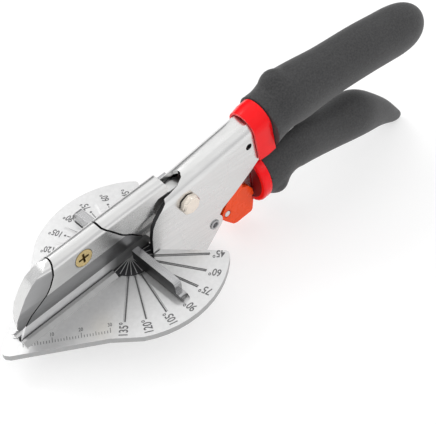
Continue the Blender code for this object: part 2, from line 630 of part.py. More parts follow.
def make_lever(carrier, steel):
    """Jaw and lever plate in one piece, pivoted between the cheeks."""
    section = jaw_section()
    rear_x = JAW_SIDE_SHARES[0][0] * JAW_LENGTH - OVERRUN
    lever = piece("lever_arm", end_prism(section, rear_x, JAW_LENGTH + OVERRUN), steel, carrier)
    reach = JAW_HALF_WIDTH + OVERRUN
    side = from_shares(JAW_SIDE_SHARES, JAW_LENGTH, JAW_BACK_Z)
    combine(lever, side_prism(side, -reach, reach), "INTERSECT")
    plate = from_shares(LEVER_SHARES, LEVER_LENGTH, LEVER_HEIGHT)
    combine(lever, side_prism(plate, -LEVER_HALF, LEVER_HALF), "UNION")
    room = combine(lever, clamp_space(-BLADE_THICKNESS / 2 - BLADE_PLAY, JAW_CAP_Z - GAP))
    combine(room, side_prism(clamp_outline(GAP), -2 * reach, 2 * reach), "INTERSECT")
    seat_y = BLADE_THICKNESS / 2 + GAP
    combine(lever, side_prism(blade_outline(2 * GAP), -seat_y, seat_y))
    combine(lever, turned(screw_profile(GAP), (SCREW_X, 0.0, SCREW_Z), "Y"))
    half_blade = BLADE_THICKNESS / 2
    for x, z in blade_hole_places():
        hole = side_prism(circle(x, z, BLADE_PIN_RADIUS + GAP), -BLADE_PIN_DEPTH - GAP, half_blade)
        combine(lever, hole)
    across = LEVER_HALF + OVERRUN
    combine(lever, side_prism(circle(PIVOT_X, PIVOT_Z, PIVOT_RADIUS + GAP), -across, across))
    combine(lever, side_prism(circle(LATCH_X, LATCH_Z, LATCH_PIN_RADIUS + GAP), -across, across))


def clamp_space(shell_y, cap_z):
    """Room of the clamp: the near half of the jaw, and all of its rounded cap."""
    reach, top = JAW_HALF_WIDTH + OVERRUN, JAW_BACK_Z + OVERRUN
    section = [(shell_y, 0.0), (reach, 0.0), (reach, top), (-reach, top), (-reach, cap_z),
               (shell_y, cap_z)]
    return end_prism([Vector(point) for point in section], -JAW_LENGTH, JAW_LENGTH)


def make_clamp(carrier, steel, brass):
    """Near half of the jaw, which one screw draws onto the blade."""
    section = end_prism(jaw_section(), CLAMP_REAR_SHARES[-1][0] * CLAMP_REAR_X - OVERRUN, JAW_LENGTH)
    clamp = piece("blade_clamp", section, steel, carrier)
    reach = JAW_HALF_WIDTH + OVERRUN
    combine(clamp, side_prism(clamp_outline(), -reach, reach), "INTERSECT")
    combine(clamp, clamp_space(BLADE_THICKNESS / 2 + BLADE_PLAY, JAW_CAP_Z), "INTERSECT")
    combine(clamp, turned(screw_profile(GAP), (SCREW_X, 0.0, SCREW_Z), "Y"))
    screw = piece("clamp_screw", turned(screw_profile(), (SCREW_X, 0.0, SCREW_Z), "Y"), brass, carrier)
    arm, half = SCREW_HEAD_RADIUS * CROSS_REACH_SHARE, CROSS_WIDTH / 2
    for long_x, long_z in ((arm, half), (half, arm)):
        slot = box(SCREW_X - long_x, SCREW_X + long_x, JAW_HALF_WIDTH - CROSS_DEPTH,
                   JAW_HALF_WIDTH + OVERRUN, SCREW_Z - long_z, SCREW_Z + long_z)
        combine(screw, slot)


def make_blade(carrier, blade_steel):
    half = BLADE_THICKNESS / 2
    blade = piece("blade", side_prism(blade_outline(), -half, half), blade_steel, carrier)
    spine_z = BLADE_EDGE_Z + BLADE_HEIGHT
    for side in (1, -1):
        middle = BLADE_MID_X + side * BLADE_SLOT_SPACING / 2
        low = spine_z - BLADE_SLOT_DEPTH
        combine(blade, box(middle - BLADE_SLOT_WIDTH / 2, middle + BLADE_SLOT_WIDTH / 2,
                           -half - OVERRUN, half + OVERRUN, low, spine_z + OVERRUN))
        tip = BLADE_EDGE_Z - BLADE_EDGE_CLEAR
        rise = BLADE_EDGE_Z + BLADE_BEVEL
        wedge = [(0.0, tip), (side * 2 * half, tip), (side * 2 * half, rise + BLADE_BEVEL),
                 (side * half, rise)]
        first, last = BLADE_MID_X - 2 * BLADE_HALF_LENGTH, BLADE_MID_X + 2 * BLADE_HALF_LENGTH
        combine(blade, end_prism([Vector(point) for point in wedge], first, last))
    for (x, z), name in zip(blade_hole_places(), ("blade_pin_rear", "blade_pin_front")):
        combine(blade, side_prism(circle(x, z, BLADE_HOLE_RADIUS), -half - OVERRUN, half + OVERRUN))
        pin = side_prism(circle(x, z, BLADE_PIN_RADIUS), -BLADE_PIN_DEPTH, half)
        piece(name, pin, blade_steel, carrier)


# Pivot

def make_pivot(carrier, bright, dark_steel):
    """Shouldered bolt through both cheeks, with a nut and two washers beside the lever."""
    face = BODY_HALF_WIDTH + GAP
    head_end = face + PIVOT_HEAD_HEIGHT
    nut_end = -face - PIVOT_NUT_HEIGHT
    place = (PIVOT_X, 0.0, PIVOT_Z)
    shank = turned([(PIVOT_RADIUS, nut_end - PIVOT_STUB), (PIVOT_RADIUS, head_end - PIVOT_STUB)],
                   place, "Y")
    bolt = piece("pivot_bolt", shank, bright, carrier)
    chamfer = PIVOT_HEAD_HEIGHT / 3
    head = [(PIVOT_HEAD_RADIUS, face), (PIVOT_HEAD_RADIUS, head_end - chamfer),
            (PIVOT_HEAD_RADIUS - chamfer, head_end)]
    combine(bolt, turned(head, place, "Y", PIVOT_HEAD_SIDES), "UNION")
    nut = turned([(PIVOT_HEAD_RADIUS, nut_end), (PIVOT_HEAD_RADIUS, -face)], place, "Y", NUT_SIDES)
    nut = piece("pivot_nut", nut, dark_steel, carrier)
    bore = circle(PIVOT_X, PIVOT_Z, PIVOT_RADIUS + GAP)
    combine(nut, side_prism(bore, nut_end - OVERRUN, -face + OVERRUN))
    inner, outer = LEVER_HALF + GAP, BODY_HALF_WIDTH - BODY_WALL - GAP
    for name, low, high in (("near_washer", inner, outer), ("far_washer", -outer, -inner)):
        disc = side_prism(circle(PIVOT_X, PIVOT_Z, WASHER_RADIUS), low, high)
        washer = piece(name, disc, dark_steel, carrier)
        combine(washer, side_prism(bore, low - OVERRUN, high + OVERRUN))


# Return spring

def make_spring(body, lever, steel):
    """Compression coil between the channel's back and the lever's upper edge."""
    low = LOWER_SEAT_Z + SEAT_HEIGHT + GAP + WIRE_RADIUS
    high = UPPER_SEAT_Z - GAP - WIRE_RADIUS
    count = SPRING_CURLS * CURL_POINTS
    centres = []
    for i in range(count + 1):
        turn = 2 * math.pi * i / CURL_POINTS
        height = low + (high - low) * i / count
        centres.append(Vector((SPRING_X + SPRING_RADIUS * math.cos(turn),
                               SPRING_RADIUS * math.sin(turn), height)))
    rings = []
    for i, centre in enumerate(centres):
        along = (centres[min(i + 1, count)] - centres[max(i - 1, 0)]).normalized()
        outward = Vector((centre.x - SPRING_X, centre.y, 0.0)).normalized()
        across = along.cross(outward).normalized()
        rings.append([centre + WIRE_RADIUS * (math.cos(a) * outward + math.sin(a) * across)
                      for a in (2 * math.pi * k / WIRE_SIDES for k in range(WIRE_SIDES))])
    piece("return_spring", loft(rings), steel, body)
    near = min((a - b).length for i, a in enumerate(centres)
               for b in centres[i + CURL_POINTS // 2:]) - 2 * WIRE_RADIUS
    print(f"return_spring: least gap to itself {near * 1000:.2f} mm")
    top = fold_z(SPRING_X) - BODY_WALL - 2 * GAP
    stem = SEAT_RADIUS / 3
    upper = [(SEAT_RADIUS, UPPER_SEAT_Z), (SEAT_RADIUS, UPPER_SEAT_Z + SEAT_HEIGHT),
             (stem, UPPER_SEAT_Z + SEAT_HEIGHT), (stem, top)]
    piece("spring_seat_upper", turned(upper, (SPRING_X, 0.0, 0.0)), steel, body)
    lower = [(SEAT_RADIUS, LOWER_SEAT_Z), (SEAT_RADIUS, LOWER_SEAT_Z + SEAT_HEIGHT)]
    piece("spring_seat_lower", turned(lower, (SPRING_X, 0.0, 0.0)), steel, lever)


# Latch

def hook_frame():
    """Directions along and across the hook at rest, and the catch's distance from the pin."""
    reach = Vector((CATCH_X - LATCH_X, CATCH_Z - LATCH_Z))
    turn = Matrix.Rotation(math.radians(LATCH_SWING_DEG), 2)
    along = turn @ reach.normalized()
    return along, Vector((along.y, -along.x)), reach.length


def make_latch(carrier, orange, steel):
    """Thumb latch that straddles the lever; swung up, its hook closes over the catch pin."""
    along, across, reach = hook_frame()
    pin = Vector((LATCH_X, LATCH_Z))
    throat = -CATCH_RADIUS - GAP
    roof = reach + CATCH_RADIUS + GAP
    back = throat - HOOK_WIDTH

    def place(distance, side):
        return pin + along * distance + across * side

    hook = [
        place(reach - 2 * CATCH_RADIUS, HOOK_TIP), place(reach - 2 * CATCH_RADIUS, throat),
        place(roof, throat), place(roof, HOOK_TIP),
        place(roof + HOOK_WIDTH * HOOK_TIP_SHARE, HOOK_TIP),
        place(roof + HOOK_WIDTH * HOOK_SHOULDER_SHARE, throat),
        place(roof + HOOK_WIDTH * HOOK_BACK_SHARE, back),
    ]
    tab = from_shares(LATCH_TAB_SHARES, LATCH_LENGTH, LATCH_HEIGHT, LATCH_X, LATCH_Z)
    latch = piece("latch", side_prism(hook + tab, -LATCH_HALF, LATCH_HALF), orange, carrier)
    slot_half = LEVER_HALF + GAP
    floor_z = LATCH_Z - LATCH_HEIGHT * LATCH_FLOOR_SHARE
    far_x = LATCH_X - 2 * LATCH_LENGTH
    near_x = LATCH_X + LATCH_LENGTH
    combine(latch, box(far_x, near_x, -slot_half, slot_half, floor_z, CATCH_Z + LATCH_LENGTH))
    bore = circle(LATCH_X, LATCH_Z, LATCH_PIN_RADIUS + GAP, RIVET_SIDES)
    combine(latch, side_prism(bore, -LATCH_HALF - OVERRUN, LATCH_HALF + OVERRUN))
    rivet = side_prism(circle(LATCH_X, LATCH_Z, LATCH_PIN_RADIUS, RIVET_SIDES), -LATCH_HALF, LATCH_HALF)
    piece("latch_pin", rivet, steel, carrier)


def make_catch_pin(carrier, steel):
    half = BODY_HALF_WIDTH - BODY_WALL - GAP
    pin = side_prism(circle(CATCH_X, CATCH_Z, CATCH_RADIUS, RIVET_SIDES), -half, half)
    piece("catch_pin", pin, steel, carrier)


# Grips and collars

def smooth_value(shares, column, at):
    """Catmull-Rom reading of one column of a table of shares."""
    index = max(i for i, row in enumerate(shares[:-1]) if row[0] <= at or i == 0)
    rows = [shares[min(max(index + k, 0), len(shares) - 1)] for k in (-1, 0, 1, 2)]
    before, start, end, after = (row[column] for row in rows)
    span = (at - rows[1][0]) / (rows[2][0] - rows[1][0])
    leave, arrive = (end - before) / 2, (after - start) / 2
    return (start * (1 + 2 * span) * (1 - span) ** 2 + leave * span * (1 - span) ** 2
            + end * span ** 2 * (3 - 2 * span) + arrive * span ** 2 * (span - 1))


def grip_rings(shares, start_x, end_x, cap_length, front_tilt_deg, tilt_deg):
    """Oval sections along a grip, closing over a rounded end."""
    length = start_x - end_x
    straight = 1 - cap_length / length
    stations = [straight * i / GRIP_STATIONS for i in range(GRIP_STATIONS)]
    stations += [1 - (1 - straight) * (1 - math.sin(math.radians(angle)))
                 for angle in CAP_STEPS_DEG]
    rings = []
    for at in stations:
        middle = smooth_value(shares, 1, at) * GRIP_HEIGHT
        half = smooth_value(shares, 2, at) * GRIP_HEIGHT
        inside = max(0.0, (at - straight) / (1 - straight))
        half *= math.sqrt(1 - inside ** 2)
        tilt = math.radians(front_tilt_deg + (tilt_deg - front_tilt_deg) * min(1.0, 3 * at))
        ring = []
        for y, z in circle(0.0, 0.0, 1.0, GRIP_SIDES):
            ring.append(Vector((start_x - at * length - z * half * math.sin(tilt),
                                y * half * GRIP_WIDTH_SHARE, middle + z * half * math.cos(tilt))))
        rings.append(ring)
    return rings


def make_upper_grip(carrier, rubber, red):
    rings = grip_rings(UPPER_GRIP_SHARES, UPPER_GRIP_X, UPPER_GRIP_END_X, UPPER_CAP_LENGTH,
                       UPPER_FRONT_TILT_DEG, UPPER_TILT_DEG)
    grip = piece("upper_grip", loft(rings), rubber, carrier)
    half = BODY_HALF_WIDTH + GAP
    stations = channel_stations(UPPER_GRIP_X + 2 * OVERRUN, TANG_END_X - GAP)
    socket = []
    for x in stations:
        shift = max(x, TANG_END_X)
        low = tang_floor(shift) - GAP
        roof = arc(0.0, fold_z(shift) - BODY_HALF_WIDTH, half, 0, 180, 2 * ARC_STEPS)
        ring = [Vector((half, low)), *roof, Vector((-half, low))]
        socket.append([Vector((x, y, z)) for y, z in ring])
    combine(grip, loft(socket))
    rings = []
    for x in (COLLAR_FRONT_X, (COLLAR_FRONT_X + COLLAR_REAR_X) / 2, COLLAR_REAR_X):
        proud = COLLAR_PROUD if x < COLLAR_FRONT_X else COLLAR_PROUD - COLLAR_EDGE
        width = BODY_HALF_WIDTH + proud
        middle_z = fold_z(x) - BODY_HALF_WIDTH
        low = tang_floor(x) + COLLAR_EDGE
        ring = [Vector((width, low)), *arc(0.0, middle_z, width, 0, 180, 2 * ARC_STEPS),
                Vector((-width, low))]
        rings.append([Vector((x - COLLAR_LEAN_SHARE * (middle_z + width - z), y, z)) for y, z in ring])
    collar = piece("upper_collar", loft(rings), red, carrier)
    stations = channel_stations(COLLAR_FRONT_X + 2 * OVERRUN, COLLAR_REAR_X - 4 * OVERRUN)
    bore = []
    for x in stations:
        roof = arc(0.0, fold_z(x) - BODY_HALF_WIDTH, half, 0, 180, 2 * ARC_STEPS)
        ring = [Vector((half, -OVERRUN)), *roof, Vector((-half, -OVERRUN))]
        bore.append([Vector((x, y, z)) for y, z in ring])
    combine(collar, loft(bore))


def tang_knee():
    x = UPPER_GRIP_X - TANG_KNEE_REACH
    return Vector((x, fold_z(x) - TANG_KNEE_DEPTH))


def tang_floor(x):
    """Lower edge of the channel where it runs under the collar and in the grip."""
    corner = from_shares(CHEEK_UNDER_SHARES[:1], CHEEK_LENGTH, CHEEK_HEIGHT)[0]
    end = Vector((TANG_END_X, fold_z(TANG_END_X) - TANG_DEPTH))
    first, last = (corner, tang_knee()) if x > tang_knee().x else (tang_knee(), end)
    return first.y + (last.y - first.y) * (first.x - x) / (first.x - last.x)


def make_lower_grip(carrier, rubber, red):
    rings = grip_rings(LOWER_GRIP_SHARES, LOWER_GRIP_X, LOWER_GRIP_END_X, LOWER_CAP_LENGTH,
                       LOWER_FRONT_TILT_DEG, LOWER_TILT_DEG)
    grip = piece("lower_grip", loft(rings), rubber, carrier)
    tang = from_shares(LEVER_TANG_SHARES, LEVER_LENGTH, LEVER_HEIGHT)
    half = LEVER_HALF + GAP
    combine(grip, side_prism(tang, -half, half))
    front = rings[0]
    middle = sum((point.z for point in front)) / len(front)
    rear_x = LOWER_GRIP_X + GAP
    collar_rings = []
    for x, size in ((LOWER_COLLAR_FRONT_X, 1.0), (LOWER_COLLAR_FRONT_X - COLLAR_EDGE, COLLAR_SWELL_SHARE),
                    (rear_x, COLLAR_SWELL_SHARE)):
        collar_rings.append([Vector((x, point.y * size, middle + (point.z - middle) * size))
                             for point in front])
    collar = piece("lower_collar", loft(collar_rings), red, carrier)
    combine(collar, side_prism(tang, -half, half))


# Whole tool

def stand_up(tool_frame):
    """Leans the tool forward and puts the middle of its footprint on the origin."""
    tool_frame.rotation_euler.y = math.radians(PITCH_DEG)
    bpy.context.view_layer.update()
    graph = bpy.context.evaluated_depsgraph_get()
    points = []
    for item in bpy.data.objects:
        if item.type != "MESH" or item.hide_render:
            continue
        shown = item.evaluated_get(graph)
        mesh = shown.to_mesh()
        points += [shown.matrix_world @ vertex.co for vertex in mesh.vertices]
        shown.to_mesh_clear()
    low = Vector([min(point[i] for point in points) for i in range(3)])
    high = Vector([max(point[i] for point in points) for i in range(3)])
    tool_frame.location = (-(low.x + high.x) / 2, -(low.y + high.y) / 2, -low.z)
    bpy.context.view_layer.update()


def build():
    for item in list(bpy.data.objects):
        bpy.data.objects.remove(item)
    steel = material("satin_nickel", (0.78, 0.78, 0.77), 0.28, 1.0)
    dark_steel = material("dark_steel", (0.42, 0.42, 0.43), 0.38, 1.0)
    blade_steel = material("blade_steel", (0.62, 0.62, 0.63), 0.22, 1.0)
    anvil = material("anvil_grey", (0.72, 0.73, 0.73), 0.45, 0.2)
    brass = material("brass", (0.86, 0.66, 0.30), 0.25, 1.0)
    bright = material("champagne_steel", (0.80, 0.74, 0.66), 0.22, 1.0)
    rubber = material("grip_rubber", (0.035, 0.036, 0.038), 0.55, 0.0)
    red = material("red_plastic", (0.78, 0.02, 0.02), 0.2, 0.0)
    orange = material("orange_plastic", (0.95, 0.10, 0.02), 0.35, 0.0)

    tool_frame = frame_empty("tool_frame", (0.0, 0.0, 0.0))
    lever_axis = frame_empty("lever_axis", (PIVOT_X, 0.0, PIVOT_Z), tool_frame)
    latch_axis = frame_empty(
        "latch_axis", (LATCH_X - PIVOT_X, 0.0, LATCH_Z - PIVOT_Z), lever_axis)

    make_body(tool_frame, steel, dark_steel)
    make_plate(tool_frame, steel)
    make_fences(tool_frame, steel, dark_steel)
    make_anvil(tool_frame, anvil, dark_steel)
    make_pivot(tool_frame, bright, dark_steel)
    make_catch_pin(tool_frame, dark_steel)
    make_upper_grip(tool_frame, rubber, red)
    make_lever(lever_axis, steel)
    make_clamp(lever_axis, steel, brass)
    make_blade(lever_axis, blade_steel)
    make_spring(tool_frame, lever_axis, dark_steel)
    make_lower_grip(lever_axis, rubber, red)
    make_latch(latch_axis, orange, dark_steel)
    stand_up(tool_frame)


build()
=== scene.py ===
"""Mitre shears in plated steel with two rubber grips, photographed on a white table."""

import math

import bmesh
import bpy
from mathutils import Euler, Matrix, Vector


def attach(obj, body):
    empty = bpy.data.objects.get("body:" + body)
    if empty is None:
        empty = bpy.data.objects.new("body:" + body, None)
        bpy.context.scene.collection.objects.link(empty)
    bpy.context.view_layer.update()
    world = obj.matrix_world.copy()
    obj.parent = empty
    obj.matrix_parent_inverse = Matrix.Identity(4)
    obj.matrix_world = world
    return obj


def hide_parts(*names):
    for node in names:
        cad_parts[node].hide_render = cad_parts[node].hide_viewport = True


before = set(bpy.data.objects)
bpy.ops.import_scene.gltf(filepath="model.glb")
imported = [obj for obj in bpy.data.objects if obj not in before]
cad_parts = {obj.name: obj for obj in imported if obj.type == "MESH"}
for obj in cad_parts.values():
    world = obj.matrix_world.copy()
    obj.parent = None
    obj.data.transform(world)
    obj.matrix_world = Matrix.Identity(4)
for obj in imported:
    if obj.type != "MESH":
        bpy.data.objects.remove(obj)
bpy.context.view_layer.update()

# Camera. A 113 mm lens looks down on the jaw side of the tool from half a metre away, at the
# height and turn that bring the plate's angle lines and ruler to their places in the photograph.
camera = bpy.data.objects.new("camera", bpy.data.cameras.new("camera"))
bpy.context.scene.collection.objects.link(camera)
camera.location = (0.26588, 0.25896, 0.36696)
camera.rotation_euler = Euler([math.radians(turn) for turn in (46.064, -1.649, 136.239)])
camera.data.lens = 112.664
camera.data.sensor_width = 36.0
camera.data.clip_start = 0.01   # metres
bpy.context.scene.camera = camera
bpy.context.scene.view_settings.view_transform = "Standard"

# White table and soft light. The table is a sheet of white card that runs on past every view and
# ends in white; a soft box hangs behind the tool, a key light stands beside it and a strip light at
# the near side. The pale room darkens a little toward the floor, with a grey card far behind.
TABLE_HALF, TABLE_DROP = 30.0, 0.0002
bm = bmesh.new()
bmesh.ops.create_grid(bm, x_segments=1, y_segments=1, size=TABLE_HALF)
bmesh.ops.translate(bm, verts=bm.verts, vec=(0, 0, -TABLE_DROP))
table = bpy.data.objects.new("table", bpy.data.meshes.new("table"))
bm.to_mesh(table.data)
bm.free()
bpy.context.scene.collection.objects.link(table)
card = bpy.data.materials.new("white_card")
card.use_nodes = True
card_nodes, card_links = card.node_tree.nodes, card.node_tree.links
card_shader = card_nodes["Principled BSDF"]
card_shader.inputs["Base Color"].default_value = (0.90, 0.90, 0.90, 1)
card_shader.inputs["Roughness"].default_value = 0.9
card_shader.inputs["Specular IOR Level"].default_value = 0.0
paper = card_nodes.new("ShaderNodeEmission")
paper.inputs["Strength"].default_value = 1.2
seen = card_nodes.new("ShaderNodeLightPath")
seen_any = card_nodes.new("ShaderNodeMath")
seen_any.operation = "MAXIMUM"
card_links.new(seen.outputs["Is Camera Ray"], seen_any.inputs[0])
card_links.new(seen.outputs["Is Glossy Ray"], seen_any.inputs[1])
share = card_nodes.new("ShaderNodeMapRange")
share.inputs["To Max"].default_value = 0.45
card_links.new(seen_any.outputs["Value"], share.inputs["Value"])
blend = card_nodes.new("ShaderNodeMixShader")
card_links.new(share.outputs["Result"], blend.inputs["Fac"])
card_links.new(card_shader.outputs["BSDF"], blend.inputs[1])
card_links.new(paper.outputs["Emission"], blend.inputs[2])
card_links.new(blend.outputs["Shader"], card_nodes["Material Output"].inputs["Surface"])
table.data.materials.append(card)

for name, place, size, power in (
    ("soft_box", (-0.22, -0.54, 1.05), 1.3, 0.8),
    ("key_light", (0.22, -0.77, 0.75), 0.5, 2.7),
    ("strip_light", (-0.50, 0.64, 0.46), 0.30, 0.5),
):
    lamp = bpy.data.objects.new(name, bpy.data.lights.new(name, "AREA"))
    lamp.data.size = size
    lamp.data.energy = power
    lamp.location = place
    lamp.rotation_euler = Vector(place).to_track_quat("Z", "Y").to_euler()
    bpy.context.scene.collection.objects.link(lamp)


def shades(tree, pattern, low, high, low_at, high_at):
    """A ramp from one colour to another along a pattern."""
    ramp = tree.nodes.new("ShaderNodeValToRGB")
    stops = ramp.color_ramp.elements
    stops[0].position, stops[1].position = low_at, high_at
    stops[0].color, stops[1].color = (*low, 1), (*high, 1)
    tree.links.new(pattern, ramp.inputs["Fac"])
    return ramp.outputs["Color"]


def multiplied(tree, first, second):
    """Two colours, or a colour and a share of it, multiplied."""
    mix = tree.nodes.new("ShaderNodeMix")
    mix.data_type = "RGBA"
    mix.blend_type = "MULTIPLY"
    mix.inputs["Factor"].default_value = 1.0
    tree.links.new(first, mix.inputs["A"])
    tree.links.new(second, mix.inputs["B"])
    return mix.outputs["Result"]


ROOM_LOW, ROOM_HIGH, CARD_GREY = (0.60, 0.60, 0.61), (1, 1, 1), (0.22, 0.22, 0.225)
CARD_HEADING = (-0.55, -0.80, 0.24)
room = bpy.data.worlds.new("room")
bpy.context.scene.world = room
room.use_nodes = True
room_nodes, room_links = room.node_tree.nodes, room.node_tree.links
sky = room_nodes["Background"]
heading = room_nodes.new("ShaderNodeTexCoord")
parts = room_nodes.new("ShaderNodeSeparateXYZ")
room_links.new(heading.outputs["Generated"], parts.inputs["Vector"])
height = shades(room.node_tree, parts.outputs["Z"], ROOM_LOW, ROOM_HIGH, low_at=0.0, high_at=0.6)
behind = room_nodes.new("ShaderNodeVectorMath")
behind.operation = "DOT_PRODUCT"
behind.inputs[1].default_value = CARD_HEADING
room_links.new(heading.outputs["Generated"], behind.inputs[0])
grey_card = shades(room.node_tree, behind.outputs["Value"], ROOM_HIGH, CARD_GREY, low_at=0.84,
                   high_at=0.93)
room_links.new(multiplied(room.node_tree, height, grey_card), sky.inputs["Color"])
backdrop = room_nodes.new("ShaderNodeBackground")
backdrop.inputs["Color"].default_value = (1, 1, 1, 1)
looked_at = room_nodes.new("ShaderNodeLightPath")
room_view = room_nodes.new("ShaderNodeMixShader")
room_links.new(looked_at.outputs["Is Camera Ray"], room_view.inputs["Fac"])
room_links.new(sky.outputs["Background"], room_view.inputs[1])
room_links.new(backdrop.outputs["Background"], room_view.inputs[2])
room_links.new(room_view.outputs["Shader"], room_nodes["World Output"].inputs["Surface"])

# Channel body. Sheet steel folded round a bar into a deep channel: its back runs up into the grip,
# its two cheeks hold the pivot and reach down as a keel. Deburred, then plated in satin nickel.
LEAN_DEG = 8.44
LEAN = Matrix.Rotation(math.radians(LEAN_DEG), 4, "Y")
VERTEX = Vector((0.04742, 0.0, 0.01852))   # where the angle lines meet, on the plate's top
TOOL = Matrix.Translation(VERTEX) @ LEAN   # the tool's own frame, in which the plate is level
to_tool = TOOL.inverted()
WELD_GAP, SAME_FACE_DEG, SHARP_DEG, CRISP_DEG = 0.000002, 0.4, 28.0, 35.0
ALONG, ACROSS = 0.9, 0.2   # a normal's share along an axis, for a face square to it or beside it


def blank_finish(name, settings):
    """A new material with these settings of its shader, and the piece's own coordinates."""
    made = bpy.data.materials.new(name)
    made.use_nodes = True
    for setting, value in settings.items():
        made.node_tree.nodes["Principled BSDF"].inputs[setting].default_value = value
    return made, made.node_tree.nodes.new("ShaderNodeTexCoord").outputs["Object"]


def clouds(made, place, scale, detail):
    """A cloudy pattern over a piece, from 0 to 1."""
    noise = made.node_tree.nodes.new("ShaderNodeTexNoise")
    noise.inputs["Scale"].default_value = scale
    noise.inputs["Detail"].default_value = detail
    made.node_tree.links.new(place, noise.inputs["Vector"])
    return noise.outputs["Fac"]


def tint(made, pattern, low, high, low_at=0.3, high_at=0.7):
    """Lets a pattern shade the material between two colours."""
    colour = shades(made.node_tree, pattern, low, high, low_at, high_at)
    made.node_tree.links.new(colour, made.node_tree.nodes["Principled BSDF"].inputs["Base Color"])


def vary_dullness(made, pattern, least, most):
    """Lets a pattern make the surface duller and clearer."""
    spread = made.node_tree.nodes.new("ShaderNodeMapRange")
    spread.inputs["To Min"].default_value = least
    spread.inputs["To Max"].default_value = most
    made.node_tree.links.new(pattern, spread.inputs["Value"])
    roughness = made.node_tree.nodes["Principled BSDF"].inputs["Roughness"]
    made.node_tree.links.new(spread.outputs["Result"], roughness)


def emboss(made, pattern, depth, strength):
    """Lets a pattern stand out from the surface by a depth in metres."""
    bump = made.node_tree.nodes.new("ShaderNodeBump")
    bump.inputs["Distance"].default_value = depth
    bump.inputs["Strength"].default_value = strength
    made.node_tree.links.new(pattern, bump.inputs["Height"])
    normal = made.node_tree.nodes["Principled BSDF"].inputs["Normal"]
    made.node_tree.links.new(bump.outputs["Normal"], normal)


PATCH_SCALE, PATCH_CLEARER, PATCH_DULLER = 60.0, 0.03, 0.04
LINE_SHADE, LINE_DEPTH, LINE_STRENGTH = 0.93, 0.000002, 0.35


def satin_metal(name, colour, dullness, grain, depth=LINE_DEPTH, metallic=1.0):
    """Metal with fine lines that grain stretches, and cloudy patches where it is duller."""
    made, place = blank_finish(name, {"Metallic": metallic})
    stretch = made.node_tree.nodes.new("ShaderNodeMapping")
    stretch.inputs["Rotation"].default_value = (0.0, math.radians(-LEAN_DEG), 0.0)
    stretch.inputs["Scale"].default_value = grain
    made.node_tree.links.new(place, stretch.inputs["Vector"])
    lines = clouds(made, stretch.outputs["Vector"], scale=1.0, detail=4.0)
    tint(made, lines, [LINE_SHADE * part for part in colour], colour)
    emboss(made, lines, depth, LINE_STRENGTH)
    patches = clouds(made, place, PATCH_SCALE, detail=3.0)
    vary_dullness(made, patches, dullness - PATCH_CLEARER, dullness + PATCH_DULLER)
    return made


def copied(node):
    """A copy of a CAD node's skin with its doubles merged."""
    bm = bmesh.new()
    bm.from_mesh(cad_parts[node].data)
    bmesh.ops.remove_doubles(bm, verts=bm.verts, dist=WELD_GAP)
    return bm


def welded(node):
    """A copy of a CAD node's skin with each flat face made whole again."""
    bm = copied(node)
    bmesh.ops.dissolve_limit(bm, angle_limit=math.radians(SAME_FACE_DEG), verts=bm.verts,
                             edges=bm.edges)
    return bm


def ease_edges(bm, width, sharp_deg=SHARP_DEG):
    """Rounds every edge that is sharper than this, as tumbling or a file would."""
    sharp = [edge for edge in bm.edges
             if len(edge.link_faces) == 2 and edge.calc_face_angle() > math.radians(sharp_deg)]
    bmesh.ops.bevel(bm, geom=sharp, offset=width, offset_type="OFFSET", segments=2, profile=0.5,
                    affect="EDGES", clamp_overlap=True, material=-1)


def settle(bm, name, body, finish, nodes=(), smooth_deg=CRISP_DEG, more_finishes=()):
    """Turns a finished shape into a piece that rides on a body and stands for CAD nodes.

    Faces with a material index of 1 or more take the further finishes, in their order.
    """
    for face in bm.faces:
        face.smooth = True
    mesh = bpy.data.meshes.new(name)
    bm.to_mesh(mesh)
    bm.free()
    mesh.set_sharp_from_angle(angle=math.radians(smooth_deg))
    for coat in (finish, *more_finishes):
        mesh.materials.append(coat)
    made = bpy.data.objects.new(name, mesh)
    bpy.context.scene.collection.objects.link(made)
    flats = made.modifiers.new("flat faces stay flat", "WEIGHTED_NORMAL")
    flats.keep_sharp = True
    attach(made, body)
    if nodes:
        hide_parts(*nodes)


satin_nickel = satin_metal("satin_nickel", (0.74, 0.74, 0.735), dullness=0.27, grain=(60, 900, 900))
# The channel's forward-facing edges are painted near-black, as painted shade along them.
painted_edge_shade = satin_metal("painted_edge_shade", (0.07, 0.07, 0.072), dullness=0.5, grain=(500, 500, 500))
EDGE_SHADE_LOWEST_Z, EDGE_SHADE_HIGHEST_Z, EDGE_SHADE_FORWARD, SHEET_EDGE = 0.001, 0.030, 0.3, 0.00025
bm = welded("body_channel")
for face in bm.faces:
    looks = LEAN.inverted() @ face.normal
    spot = to_tool @ face.calc_center_median()
    level = EDGE_SHADE_LOWEST_Z < spot.z < EDGE_SHADE_HIGHEST_Z
    if looks.x > EDGE_SHADE_FORWARD and abs(looks.y) < ACROSS and level:
        face.material_index = 1
ease_edges(bm, SHEET_EDGE)
settle(bm, "channel_shell", "body", satin_nickel, ["body_channel"],
       more_finishes=[painted_edge_shade])

# Keel spacer. A block of plain steel fills the keel between the two cheeks, under the plate, and
# two round-headed rivets go through cheeks and block.
plain_steel = satin_metal("plain_steel", (0.45, 0.45, 0.46), dullness=0.38, grain=(500, 500, 500))
BLOCK_EDGE = 0.0002


def eased_piece(node, body, finish, width, sharp_deg=SHARP_DEG):
    """A CAD node's own shape with its edges eased, in one finish."""
    bm = welded(node)
    ease_edges(bm, width, sharp_deg)
    settle(bm, node + "_piece", body, finish, [node])


for node in ("keel_block", "keel_rivet_rear", "keel_rivet_front"):
    eased_piece(node, "body", plain_steel, BLOCK_EDGE)

